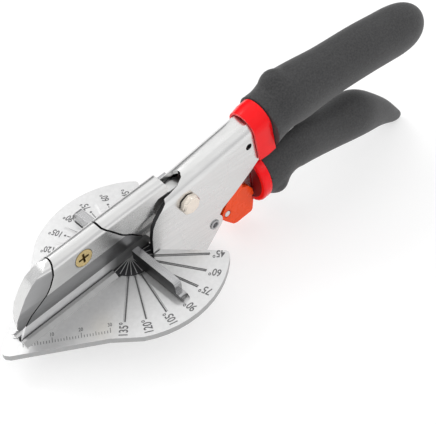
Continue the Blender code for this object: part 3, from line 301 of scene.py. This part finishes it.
# Angle plate. A round plate of nickel-plated steel drawn out to a point under the blade: grooves
# every 15 degrees run from a milled hub, two slots hold the fences, and its rim is rolled smooth.
# The far half's short ticks are filled level here and are engraved further on, with their numbers.
plate_nickel = satin_metal("plate_nickel", (0.71, 0.71, 0.71), dullness=0.33, grain=(700, 700, 700),
                           metallic=0.6)
# Upright faces of the rim, slots and grooves are painted a darker grey, as painted shade.
painted_wall_shade = satin_metal("painted_wall_shade", (0.42, 0.42, 0.42), dullness=0.4, grain=(700, 700, 700))
TICK_DEEPEST, TICK_SHALLOWEST, TICK_NEAREST, TICK_FARTHEST = -0.0007, -0.0005, 0.0165, 0.0290
SHADED_WALL_UPWARD, PLATE_EDGE = 0.3, 0.0002
bm = welded("angle_plate")
for vert in bm.verts:
    place = to_tool @ vert.co
    far_tick = place.y < 0 and TICK_NEAREST < place.xy.length < TICK_FARTHEST
    if far_tick and TICK_DEEPEST < place.z < TICK_SHALLOWEST:
        vert.co = TOOL @ Vector((place.x, place.y, 0.0))
bmesh.ops.remove_doubles(bm, verts=bm.verts, dist=WELD_GAP)
for face in bm.faces:
    if abs((LEAN.inverted() @ face.normal).z) < SHADED_WALL_UPWARD:
        face.material_index = 1
ease_edges(bm, PLATE_EDGE)
settle(bm, "angle_plate_piece", "body", plate_nickel, ["angle_plate"],
       more_finishes=[painted_wall_shade])

# Hub floor. A dark, rough disc lies in the hub's recess and a black ring at its rim, both painted
# shade, with narrow bright ribs between the angle grooves; it lies a hair above the plate's own
# recess.
HUB_FLOOR, HUB_FLOOR_RADIUS = -0.00050, 0.00855
RIB_REACH_SHARE, RIB_WIDTH, RIB_RISE, GROOVE_STEP_DEG = 0.96, 0.00030, 0.00012, 15
painted_shade_black = satin_metal("painted_shade_black", (0.10, 0.10, 0.105), dullness=0.5, grain=(900, 900, 900))
bm = bmesh.new()
bmesh.ops.create_circle(bm, cap_ends=True, segments=64, radius=HUB_FLOOR_RADIUS)
bmesh.ops.translate(bm, verts=bm.verts, vec=(0, 0, HUB_FLOOR))
bmesh.ops.transform(bm, matrix=TOOL, verts=bm.verts)
settle(bm, "hub_floor", "body", painted_shade_black)
HUB_RIM_OUTER, HUB_RIM_WIDTH, HUB_RIM_LIFT = 0.00885, 0.00050, 0.00002
bm = bmesh.new()
bmesh.ops.create_circle(bm, cap_ends=True, segments=96, radius=HUB_RIM_OUTER)
ring = bmesh.ops.inset_region(bm, faces=bm.faces, thickness=HUB_RIM_WIDTH,
                              use_boundary=True)["faces"]
bmesh.ops.delete(bm, geom=[face for face in bm.faces if face not in ring], context="FACES")
bmesh.ops.translate(bm, verts=bm.verts, vec=(0, 0, HUB_RIM_LIFT))
bmesh.ops.transform(bm, matrix=TOOL, verts=bm.verts)
settle(bm, "hub_rim", "body", painted_shade_black)


def gather(whole, part):
    """Adds one shape to another."""
    held = bpy.data.meshes.new("held")
    part.to_mesh(held)
    part.free()
    whole.from_mesh(held)
    bpy.data.meshes.remove(held)


ribs = bmesh.new()
for turn in range(0, 360, GROOVE_STEP_DEG):
    bm = bmesh.new()
    bmesh.ops.create_cube(bm, size=1.0)
    bmesh.ops.scale(bm, verts=bm.verts,
                    vec=(HUB_FLOOR_RADIUS * RIB_REACH_SHARE, RIB_WIDTH, RIB_RISE))
    between = Matrix.Rotation(math.radians(turn + GROOVE_STEP_DEG / 2), 4, "Z")
    spot = between @ Matrix.Translation((HUB_FLOOR_RADIUS / 2, 0, HUB_FLOOR))
    bmesh.ops.transform(bm, matrix=TOOL @ spot, verts=bm.verts)
    gather(ribs, bm)
settle(ribs, "hub_ribs", "body", plate_nickel)

# Engraving on the plate. Numbers beside each angle line read along the line, the far half has a
# dot and a tick at each instead of a groove, and both front edges carry rulers of one millimetre.
# All are cut by a rotary cutter and filled with grey enamel.
ENAMEL_DARK, ENAMEL_PALE, SPECK_SCALE = (0.07, 0.07, 0.072), (0.20, 0.20, 0.205), 2500.0
enamel_and_groove_shade, enamel_place = blank_finish("grey_enamel_and_groove_shade", {"Roughness": 0.6})
specks = clouds(enamel_and_groove_shade, enamel_place, SPECK_SCALE, detail=2.0)
tint(enamel_and_groove_shade, specks, ENAMEL_DARK, ENAMEL_PALE, low_at=0.0, high_at=1.0)
FILL_HEIGHT = 0.00003
LETTER_FATNESS, LETTER_NARROWING = 0.016, 0.74


def engraved(words, size, x, y, right):
    """A word in bold, narrow enamel letters flat on the plate, read toward the direction right."""
    curve = bpy.data.curves.new("word", "FONT")
    curve.body = words
    curve.size = size
    curve.align_x = "CENTER"
    curve.align_y = "CENTER"
    curve.resolution_u = 3
    curve.offset = size * LETTER_FATNESS
    holder = bpy.data.objects.new("word", curve)
    bpy.context.scene.collection.objects.link(holder)
    bpy.context.view_layer.update()
    mesh = holder.to_mesh()
    bm = bmesh.new()
    bm.from_mesh(mesh)
    holder.to_mesh_clear()
    bpy.data.objects.remove(holder)
    turn = math.atan2(right.y, right.x)
    spot = Matrix.Translation((x, y, FILL_HEIGHT)) @ Matrix.Rotation(turn, 4, "Z")
    bmesh.ops.scale(bm, verts=bm.verts, vec=(LETTER_NARROWING, 1.0, 1.0))
    bmesh.ops.transform(bm, matrix=TOOL @ spot, verts=bm.verts)
    return bm


def stroke(whole, start, end, width, height=FILL_HEIGHT):
    """A straight engraved line between two points of the plate."""
    run = end - start
    bm = bmesh.new()
    bmesh.ops.create_grid(bm, x_segments=1, y_segments=1, size=0.5)
    spot = Matrix.Translation(((start + end) / 2).to_3d() + Vector((0, 0, height)))
    spot = spot @ Matrix.Rotation(math.atan2(run.y, run.x), 4, "Z")
    bmesh.ops.scale(bm, verts=bm.verts, vec=(run.length, width, 1.0))
    bmesh.ops.transform(bm, matrix=TOOL @ spot, verts=bm.verts)
    gather(whole, bm)


numbers = bmesh.new()
NEAR_NUMBER_REACH, FAR_NUMBER_REACH, NUMBER_SIZE = 0.0317, 0.0302, 0.0044
GROOVE_INNER_END, GROOVE_OUTER_END, GROOVE_LINE, GROOVE_FLOOR = 0.0088, 0.0284, 0.0005, -0.00055
FAR_LEAD, FAR_SIZE = 6.3, 0.0038   # degrees that the far marks sit nearer the nose; their size
TICK_INNER_END, TICK_OUTER_END, TICK_LINE = 0.0222, 0.0256, 0.0003
DOT_REACH, DOT_RADIUS, DOT_SIDES = 0.0264, 0.00045, 12
for turn in range(45, 136, GROOVE_STEP_DEG):
    near = Vector((math.cos(math.radians(turn)), math.sin(math.radians(turn))))
    far_turn = math.radians(turn - FAR_LEAD)
    far = Vector((math.cos(far_turn), -math.sin(far_turn)))
    spot = near * NEAR_NUMBER_REACH
    gather(numbers, engraved(f"{180 - turn}°", NUMBER_SIZE, spot.x, spot.y, -near))
    spot = far * FAR_NUMBER_REACH
    gather(numbers, engraved(f"{180 - turn}°", FAR_SIZE, spot.x, spot.y, far))
    # Each near groove's floor gets a dark enamel strip, as painted shade in the groove.
    stroke(numbers, near * GROOVE_INNER_END, near * GROOVE_OUTER_END, GROOVE_LINE, GROOVE_FLOOR)
    if turn != 90:
        stroke(numbers, far * TICK_INNER_END, far * TICK_OUTER_END, TICK_LINE)
        bm = bmesh.new()
        bmesh.ops.create_circle(bm, cap_ends=True, segments=DOT_SIDES, radius=DOT_RADIUS)
        spot = (far * DOT_REACH).to_3d()
        bmesh.ops.translate(bm, verts=bm.verts, vec=spot + Vector((0, 0, FILL_HEIGHT)))
        bmesh.ops.transform(bm, matrix=TOOL, verts=bm.verts)
        gather(numbers, bm)
settle(numbers, "angle_numbers", "body", enamel_and_groove_shade)

rulers = bmesh.new()
RULER_FRONT, RULER_REAR = Vector((0.0509, 0.0027)), Vector((0.0262, 0.0203))
MARK_STEP, MARK_LINE, TEN_MARK, FIVE_MARK, ONE_MARK = 0.001, 0.00022, 0.0021, 0.0016, 0.0011
RULER_NUMBER_INSET, RULER_NUMBER_SIZE, LAST_MARK = 0.0034, 0.0021, 30
for side in (1, -1):
    front = Vector((RULER_FRONT.x, side * RULER_FRONT.y))
    rear = Vector((RULER_REAR.x, side * RULER_REAR.y))
    along = (rear - front).normalized()
    inward = Vector((-along.y, along.x)) * side
    for mark in range(LAST_MARK + 1):
        length = TEN_MARK if mark % 10 == 0 else FIVE_MARK if mark % 5 == 0 else ONE_MARK
        foot = front + along * mark * MARK_STEP
        stroke(rulers, foot, foot + inward * length, MARK_LINE)
        if mark % 10 == 0:
            spot = foot + inward * RULER_NUMBER_INSET
            gather(rulers, engraved(str(mark), RULER_NUMBER_SIZE, spot.x, spot.y, along * side))
settle(rulers, "edge_rulers", "body", enamel_and_groove_shade)

# Anvil rail. A replaceable rail of slightly chalky cast alloy under the blade's edge, painted grey
# on top and sides as painted shade, with a narrow slot along its middle that the edge drops into
# and whose lips are painted black as painted shade; it fits its bed in the plate closely, and one
# screw holds it from below.
RAIL_EDGE, CAST_DEPTH = 0.00012, 0.000006
rail_alloy = satin_metal("rail_alloy", (0.80, 0.80, 0.795), dullness=0.5, grain=(400, 400, 400),
                         depth=CAST_DEPTH, metallic=0.25)
# The rail's top and side faces take a darker grey: painted shade.
rail_painted_shade = satin_metal("rail_painted_shade", (0.42, 0.42, 0.42), dullness=0.45, grain=(400, 400, 400),
                        depth=CAST_DEPTH)
bm = welded("anvil_rail")
for face in bm.faces:
    if abs(face.normal.y) > ACROSS or (LEAN.inverted() @ face.normal).z > ALONG:
        face.material_index = 1
ease_edges(bm, RAIL_EDGE)
settle(bm, "rail_piece", "body", rail_alloy, ["anvil_rail"], more_finishes=[rail_painted_shade])
# The slot's lips are painted black strips, as painted shade.
RAIL_START, RAIL_END, LIP_Y, LIP_Z, LIP_WIDTH = 0.0087, 0.0500, 0.00086, 0.00112, 0.00040
FIT_Y, FIT_Z, FIT_WIDTH = 0.00424, 0.00002, 0.00030
slot_lips, rail_fit = bmesh.new(), bmesh.new()
for side in (1, -1):
    for lines, y, width, z in ((slot_lips, LIP_Y, LIP_WIDTH, LIP_Z),
                               (rail_fit, FIT_Y, FIT_WIDTH, FIT_Z)):
        stroke(lines, Vector((RAIL_START, side * y)), Vector((RAIL_END, side * y)), width, z)
tip = RAIL_END + FIT_WIDTH / 2
stroke(rail_fit, Vector((tip, -FIT_Y)), Vector((tip, FIT_Y)), FIT_WIDTH, FIT_Z)
settle(slot_lips, "slot_lips", "body", painted_shade_black)
settle(rail_fit, "rail_fit", "body", plate_nickel)

# Fences. Two stops stand in the plate's slots square to the blade, each with a foot, a toe and a
# screw from below like the rail's. Extruded steel, cut off, tumbled and plated; the near one's long
# faces are painted near-black, as painted shade.
FENCE_EDGE, SCREW_EDGE = 0.0003, 0.0001
fence_nickel = satin_metal("fence_nickel", (0.46, 0.46, 0.465), dullness=0.26, grain=(900, 60, 900))
# The near fence's long faces are painted near-black, as painted shade.
fence_painted_shade = satin_metal("fence_painted_shade", (0.09, 0.09, 0.092), dullness=0.3, grain=(900, 60, 900))
for node in ("near_fence", "far_fence"):
    bm = welded(node)
    for face in bm.faces:
        if node == "near_fence" and abs((LEAN.inverted() @ face.normal).x) > ALONG:
            face.material_index = 1
    ease_edges(bm, FENCE_EDGE)
    settle(bm, node + "_piece", "body", fence_nickel, [node],
           more_finishes=[fence_painted_shade])
for node in ("near_fence_screw", "far_fence_screw", "rail_screw"):
    eased_piece(node, "body", plain_steel, SCREW_EDGE)

# Pivot bolt. An eight-sided head with a crowned, turned face, plated in a warm champagne tone,
# with its nut on the far cheek and a washer on each side of the lever.
champagne = satin_metal("champagne_plate", (0.86, 0.78, 0.69), dullness=0.2, grain=(700, 700, 700))
BOLT_EDGE, BOLT_SHARP_DEG, NUT_EDGE = 0.0003, 20.0, 0.00015
eased_piece("pivot_bolt", "body", champagne, BOLT_EDGE, BOLT_SHARP_DEG)
for node in ("pivot_nut", "near_washer", "far_washer"):
    eased_piece(node, "body", plain_steel, NUT_EDGE)

# Ear plugs. Each cheek's rear ear carries a short steel bush with a sunk middle, pressed in from
# outside and left a little proud.
EAR_PLACE, PLUG_RADIUS, SOCKET_WALL, SOCKET_DEPTH = (-0.0356, -0.0095), 0.0020, 0.0008, 0.0012
PLUG_INNER_Y, PLUG_OUTER_Y = 0.0040, 0.0060
for side in (1, -1):
    bm = bmesh.new()
    bmesh.ops.create_cone(bm, cap_ends=True, segments=24, radius1=PLUG_RADIUS, radius2=PLUG_RADIUS,
                          depth=PLUG_OUTER_Y - PLUG_INNER_Y)
    end = max(bm.faces, key=lambda face: face.normal.z)
    bmesh.ops.inset_region(bm, faces=[end], thickness=SOCKET_WALL)
    sunk = bmesh.ops.extrude_discrete_faces(bm, faces=[end])["faces"][0]
    bmesh.ops.translate(bm, verts=sunk.verts, vec=(0, 0, -SOCKET_DEPTH))
    middle_y = side * (PLUG_INNER_Y + PLUG_OUTER_Y) / 2
    place = Matrix.Translation((EAR_PLACE[0], middle_y, EAR_PLACE[1]))
    place = place @ Matrix.Rotation(-side * math.pi / 2, 4, "X")
    bmesh.ops.transform(bm, matrix=TOOL @ place, verts=bm.verts)
    ease_edges(bm, SCREW_EDGE)
    settle(bm, "near_ear_plug" if side > 0 else "far_ear_plug", "body", plain_steel)

# Return spring. A small compression coil of round wire between the channel's back and the lever,
# with a plain blued finish; a turned seat holds each of its ends.
blued_wire = satin_metal("blued_wire", (0.38, 0.38, 0.41), dullness=0.3, grain=(1200, 1200, 1200))
spring_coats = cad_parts["return_spring"].data.materials
spring_coats.clear()
spring_coats.append(blued_wire)
eased_piece("spring_seat_upper", "body", plain_steel, NUT_EDGE)
settle(welded("spring_seat_lower"), "spring_seat_lower_piece", "lever", plain_steel,
       ["spring_seat_lower"])

# Upper grip. Soft black rubber moulded over the channel's end, with a thumb swell behind the collar
# and a rounded end; its matt skin has a fine leather-like grain and some dust.
SPECKLE_SCALE, DUST_SCALE = 1400.0, 70.0
GRAIN_SCALE, GRAIN_DEPTH, GRAIN_STRENGTH = 1900.0, 0.00006, 0.5
RUBBER_DARK, RUBBER_PALE = (0.024, 0.024, 0.025), (0.050, 0.050, 0.051)
RUBBER_CLEAR, RUBBER_DULL = 0.50, 0.72
rubber, rubber_place = blank_finish("grip_rubber", {
    "Specular IOR Level": 0.35, "Sheen Weight": 0.12, "Sheen Roughness": 0.5})
speckle = clouds(rubber, rubber_place, SPECKLE_SCALE, detail=5.0)
tint(rubber, speckle, RUBBER_DARK, RUBBER_PALE)
dust = clouds(rubber, rubber_place, DUST_SCALE, detail=4.0)
vary_dullness(rubber, dust, RUBBER_CLEAR, RUBBER_DULL)
grain = rubber.node_tree.nodes.new("ShaderNodeTexVoronoi")
grain.inputs["Scale"].default_value = GRAIN_SCALE
rubber.node_tree.links.new(rubber_place, grain.inputs["Vector"])
emboss(rubber, grain.outputs["Distance"], GRAIN_DEPTH, GRAIN_STRENGTH)
QUAD_FACE_DEG, QUAD_SHAPE_DEG, CREASE_DEG, GRIP_CRISP_DEG, SKIN_LEVELS = 40, 60, 50, 60.0, 2


def smooth_grip(node, name, body, swells):
    """The moulded grip: the CAD's skin smoothed, with the mould's swells (place, reach, rise)."""
    bm = copied(node)
    bmesh.ops.join_triangles(bm, faces=bm.faces, angle_face_threshold=math.radians(QUAD_FACE_DEG),
                             angle_shape_threshold=math.radians(QUAD_SHAPE_DEG))
    sharp = bm.edges.layers.float.new("crease_edge")
    for edge in bm.edges:
        if len(edge.link_faces) == 2 and edge.calc_face_angle() > math.radians(CREASE_DEG):
            edge[sharp] = 1.0
    rough = bpy.data.objects.new("rough_grip", bpy.data.meshes.new("rough_grip"))
    bm.to_mesh(rough.data)
    bm.free()
    bpy.context.scene.collection.objects.link(rough)
    soft = rough.modifiers.new("moulded skin", "SUBSURF")
    soft.levels = SKIN_LEVELS
    soft.render_levels = SKIN_LEVELS
    skin = rough.evaluated_get(bpy.context.evaluated_depsgraph_get())
    bm = bmesh.new()
    bm.from_mesh(skin.to_mesh())
    skin.to_mesh_clear()
    bpy.data.objects.remove(rough)
    bm.normal_update()
    outward = {vert: vert.normal.copy() for vert in bm.verts}
    for place, reach, rise in swells:
        for vert in bm.verts:
            near = 1.0 - ((vert.co - Vector(place)).length / reach) ** 2
            if near > 0:
                vert.co += outward[vert] * rise * near * near
    settle(bm, name, body, rubber, [node], GRIP_CRISP_DEG)


UPPER_SWELLS = (
    ((-0.0232, -0.0030, 0.0600), 0.0068, 0.0021),     # thumb knob behind the collar
    ((-0.0292, 0.0005, 0.0605), 0.0042, -0.0006),     # fold behind the knob
    ((-0.0800, -0.0055, 0.0530), 0.0060, -0.0005),    # shallow thumb dent near the end
)
smooth_grip("upper_grip", "upper_grip_moulding", "body", UPPER_SWELLS)

# Collars. Glossy red rings close the front of each grip; the upper one leans back with the channel
# and the lower one wraps the lever's tang. Injection moulded, with a polished face.
FLOW_SCALE, FLOW_DEPTH, FLOW_STRENGTH, FLOW_CLEARER, FLOW_DULLER = 260.0, 0.00002, 0.3, 0.05, 0.07


def gloss_plastic(name, colour, dullness, mottle):
    """Moulded plastic with faint flow marks; mottle is how much of its colour they keep."""
    made, place = blank_finish(name, {"Specular IOR Level": 0.2})
    flow = clouds(made, place, FLOW_SCALE, detail=3.0)
    tint(made, flow, [mottle * part for part in colour], colour)
    vary_dullness(made, flow, dullness - FLOW_CLEARER, dullness + FLOW_DULLER)
    emboss(made, flow, FLOW_DEPTH, FLOW_STRENGTH)
    return made


red_plastic = gloss_plastic("red_plastic", (0.98, 0.006, 0.010), dullness=0.16, mottle=0.94)
COLLAR_EDGE = 0.0003
bm = welded("upper_collar")
ease_edges(bm, COLLAR_EDGE)
settle(bm, "upper_collar_ring", "body", red_plastic, ["upper_collar"])

# Lever. Jaw, web and tang are one flat steel forging: the jaw's back is rounded off, its near flank
# is milled back for the clamp, and the tang runs between the cheeks into the lower grip. The nose
# is cut on the slant. Its tapered faces and the nose's near flank are painted darker, and the faces
# at the seam round the clamp near-black, all as painted shade.
taper_painted_shade = satin_metal("taper_painted_shade", (0.34, 0.34, 0.345), dullness=0.3, grain=(60, 900, 900))
TAPER_LOWEST, TAPER_HIGHEST = -0.35, -0.10   # how far the jaw's milled tapers look down


def darken_tapers(bm):
    """Paints the jaw's tapered lower faces darker, as painted shade."""
    for face in bm.faces:
        looks = LEAN.inverted() @ face.normal
        if TAPER_LOWEST < looks.z < TAPER_HIGHEST and abs(looks.y) > ALONG:
            face.material_index = 1


NOSE_START, NOSE_BLEND, NOSE_SLANT, NOSE_FORWARD = 0.0325, 0.0060, 0.42, 0.35   # slant per width
CHEEK_START, CHEEK_FLAT, POCKET_MIDDLE, SEAM_FORWARD = 0.0290, 0.95, 0.0200, 0.25
REAR_TAPER_TOP, REAR_TAPER_END = 0.0120, 0.0090
# The nose's near flank is painted a darker grey and the seam's faces near-black, both as painted
# shade.
nose_painted_shade = satin_metal("nose_painted_shade", (0.40, 0.40, 0.405), dullness=0.28, grain=(60, 900, 900))
seam_painted_shade = satin_metal("seam_painted_shade", (0.03, 0.03, 0.03), dullness=0.6, grain=(500, 500, 500))
bm = welded("lever_arm")
bmesh.ops.bisect_plane(bm, geom=[*bm.verts, *bm.edges, *bm.faces],
                       plane_co=TOOL @ Vector((0, 0, REAR_TAPER_TOP)),
                       plane_no=LEAN @ Vector((0, 0, 1)))
darken_tapers(bm)
# Nose flank and seam faces are picked here for their painted shade.
for face in bm.faces:
    spot = to_tool @ face.calc_center_median()
    looks = LEAN.inverted() @ face.normal
    if face.material_index == 1 and spot.x < REAR_TAPER_END and spot.z > REAR_TAPER_TOP:
        face.material_index = 0
    if looks.y > CHEEK_FLAT and face.material_index == 0 and spot.x > CHEEK_START:
        face.material_index = 2
    into_seam = looks.x > SEAM_FORWARD if spot.x < POCKET_MIDDLE else looks.x < -SEAM_FORWARD
    if into_seam and abs(looks.y) < ACROSS and spot.y > 0 and spot.x > 0:
        face.material_index = 3
slant = {}
for vert in bm.verts:
    place = to_tool @ vert.co
    fronts = [LEAN.inverted() @ face.normal for face in vert.link_faces]
    fronts = [normal for normal in fronts if normal.x > NOSE_FORWARD and abs(normal.y) < ACROSS]
    if place.x > NOSE_START and fronts:
        outward = sum(fronts, Vector()).normalized()
        share = min(1.0, (place.x - NOSE_START) / NOSE_BLEND)
        slant[vert] = LEAN @ outward * NOSE_SLANT * share * place.y
for vert, move in slant.items():
    vert.co += move
ease_edges(bm, SHEET_EDGE)
settle(bm, "lever_piece", "lever", satin_nickel, ["lever_arm"],
       more_finishes=[taper_painted_shade, nose_painted_shade, seam_painted_shade])

# Blade clamp. A shaped cheek plate that presses the blade against the jaw; one brass countersunk
# cross-head screw pulls it in. Plated with the jaw, it stands off from it by a seam whose end faces
# are painted near-black and whose tapered faces are painted darker, both as painted shade.
SEAM, SCREW_PLACE, SCREW_CLEAR, CLAMP_EDGE = 0.00045, 0.0201, 0.0042, 0.0003
bm = welded("blade_clamp")
darken_tapers(bm)
# End faces toward the seam are painted near-black, as painted shade.
ends = {}
for vert in bm.verts:
    for face in vert.link_faces:
        looks = LEAN.inverted() @ face.normal
        if abs(looks.y) < ACROSS and abs(looks.x) > SEAM_FORWARD and looks.z > -ALONG:
            ends.setdefault(vert, []).append(face.normal.copy())
            if abs((to_tool @ face.calc_center_median()).x - SCREW_PLACE) > SCREW_CLEAR:
                face.material_index = 2
for vert, looks in ends.items():
    if abs((to_tool @ vert.co).x - SCREW_PLACE) > SCREW_CLEAR:
        vert.co -= sum(looks, Vector()).normalized() * SEAM
ease_edges(bm, CLAMP_EDGE)
settle(bm, "clamp_piece", "lever", satin_nickel, ["blade_clamp"],
       more_finishes=[taper_painted_shade, seam_painted_shade])
yellow_brass = satin_metal("yellow_brass", (0.90, 0.70, 0.34), dullness=0.2, grain=(900, 900, 900))
cross_shade = satin_metal("cross_shade", (0.16, 0.10, 0.03), dullness=0.5, grain=(900, 900, 900))
CROSS_FLOOR_Y = 0.0029
bm = welded("clamp_screw")
for face in bm.faces:
    spot = face.calc_center_median()
    if spot.y < CROSS_FLOOR_Y and (to_tool @ spot).x - SCREW_PLACE < SCREW_CLEAR:
        face.material_index = 1
ease_edges(bm, SCREW_EDGE)
settle(bm, "clamp_screw_piece", "lever", yellow_brass, ["clamp_screw"],
       more_finishes=[cross_shade])

# Blade. A trapezoid utility blade of ground spring steel, one millimetre thick, with its bevel
# ground along the long edge and its rear painted darker, as a painted reflection; two pins in the
# jaw carry it.
ground_steel = satin_metal("ground_steel", (0.88, 0.88, 0.885), dullness=0.42, grain=(40, 900, 900),
                           metallic=0.5)
# The blade's rear is painted darker, as a painted reflection.
DARK_REFLECTION_END_X, PLAIN_START_X, DARK_REFLECTION_SHARE = 0.0535, 0.0605, 0.22
blade_nodes, blade_links = ground_steel.node_tree.nodes, ground_steel.node_tree.links
blade_place = blade_nodes.new("ShaderNodeTexCoord")
blade_parts = blade_nodes.new("ShaderNodeSeparateXYZ")
blade_links.new(blade_place.outputs["Object"], blade_parts.inputs["Vector"])
dark_reflection = blade_nodes.new("ShaderNodeMapRange")
dark_reflection.inputs["From Min"].default_value = DARK_REFLECTION_END_X
dark_reflection.inputs["From Max"].default_value = PLAIN_START_X
dark_reflection.inputs["To Min"].default_value = DARK_REFLECTION_SHARE
blade_links.new(blade_parts.outputs["X"], dark_reflection.inputs["Value"])
base = blade_nodes["Principled BSDF"].inputs["Base Color"]
reflection_darkened = multiplied(ground_steel.node_tree, base.links[0].from_socket, dark_reflection.outputs["Result"])
blade_links.new(reflection_darkened, base)
bm = welded("blade")
settle(bm, "blade_piece", "lever", ground_steel, ["blade"])
for node in ("blade_pin_rear", "blade_pin_front"):
    settle(welded(node), node + "_piece", "lever", ground_steel, [node])

# Lower grip and collar. The same rubber over the lever's tang, bowed down and away from the upper
# grip, with its own finger swell at the front under a second red collar, whose flat front is
# painted dark red inside a narrow rim, as painted shade.
LOWER_SWELLS = (
    ((-0.0228, 0.0075, 0.0140), 0.0058, 0.0013),      # finger stop at the front
    ((-0.0228, -0.0075, 0.0140), 0.0058, 0.0013),
    ((-0.0310, 0.0060, 0.0150), 0.0050, -0.0005),     # hollow behind the stop
)
smooth_grip("lower_grip", "lower_grip_moulding", "lever", LOWER_SWELLS)
# The collar's flat front is painted dark red inside its rim, as painted shade.
painted_shade_red = gloss_plastic("painted_shade_red", (0.22, 0.004, 0.006), dullness=0.4, mottle=0.9)
COLLAR_MIDDLE_Z, COLLAR_HALF_WIDTH, COLLAR_HALF_HEIGHT = -0.0067, 0.0096, 0.0112
COLLAR_RIM, RIM_INNER_SHARE = 0.0016, 0.7
bm = welded("lower_collar")
fronts = [face for face in bm.faces if (LEAN.inverted() @ face.normal).x > ALONG]
bmesh.ops.inset_region(bm, faces=fronts, thickness=COLLAR_RIM)
for face in bm.faces:
    spot = to_tool @ face.calc_center_median()
    out = math.hypot(spot.y / COLLAR_HALF_WIDTH, (spot.z - COLLAR_MIDDLE_Z) / COLLAR_HALF_HEIGHT)
    if (LEAN.inverted() @ face.normal).x > ALONG and (face in fronts or out < RIM_INNER_SHARE):
        face.material_index = 1
ease_edges(bm, COLLAR_EDGE)
settle(bm, "lower_collar_ring", "lever", red_plastic, ["lower_collar"],
       more_finishes=[painted_shade_red])

# Thumb latch. An orange moulding astride the lever: its thumb pad hangs below and its hook swings
# up between the cheeks over the catch pin.
orange_plastic = gloss_plastic("orange_plastic", (0.99, 0.075, 0.002), dullness=0.26, mottle=0.92)
LATCH_EDGE = 0.0004
bm = welded("latch")
ease_edges(bm, LATCH_EDGE)
settle(bm, "latch_moulding", "latch", orange_plastic, ["latch"])
eased_piece("latch_pin", "latch", satin_nickel, NUT_EDGE)
eased_piece("catch_pin", "body", plain_steel, NUT_EDGE)
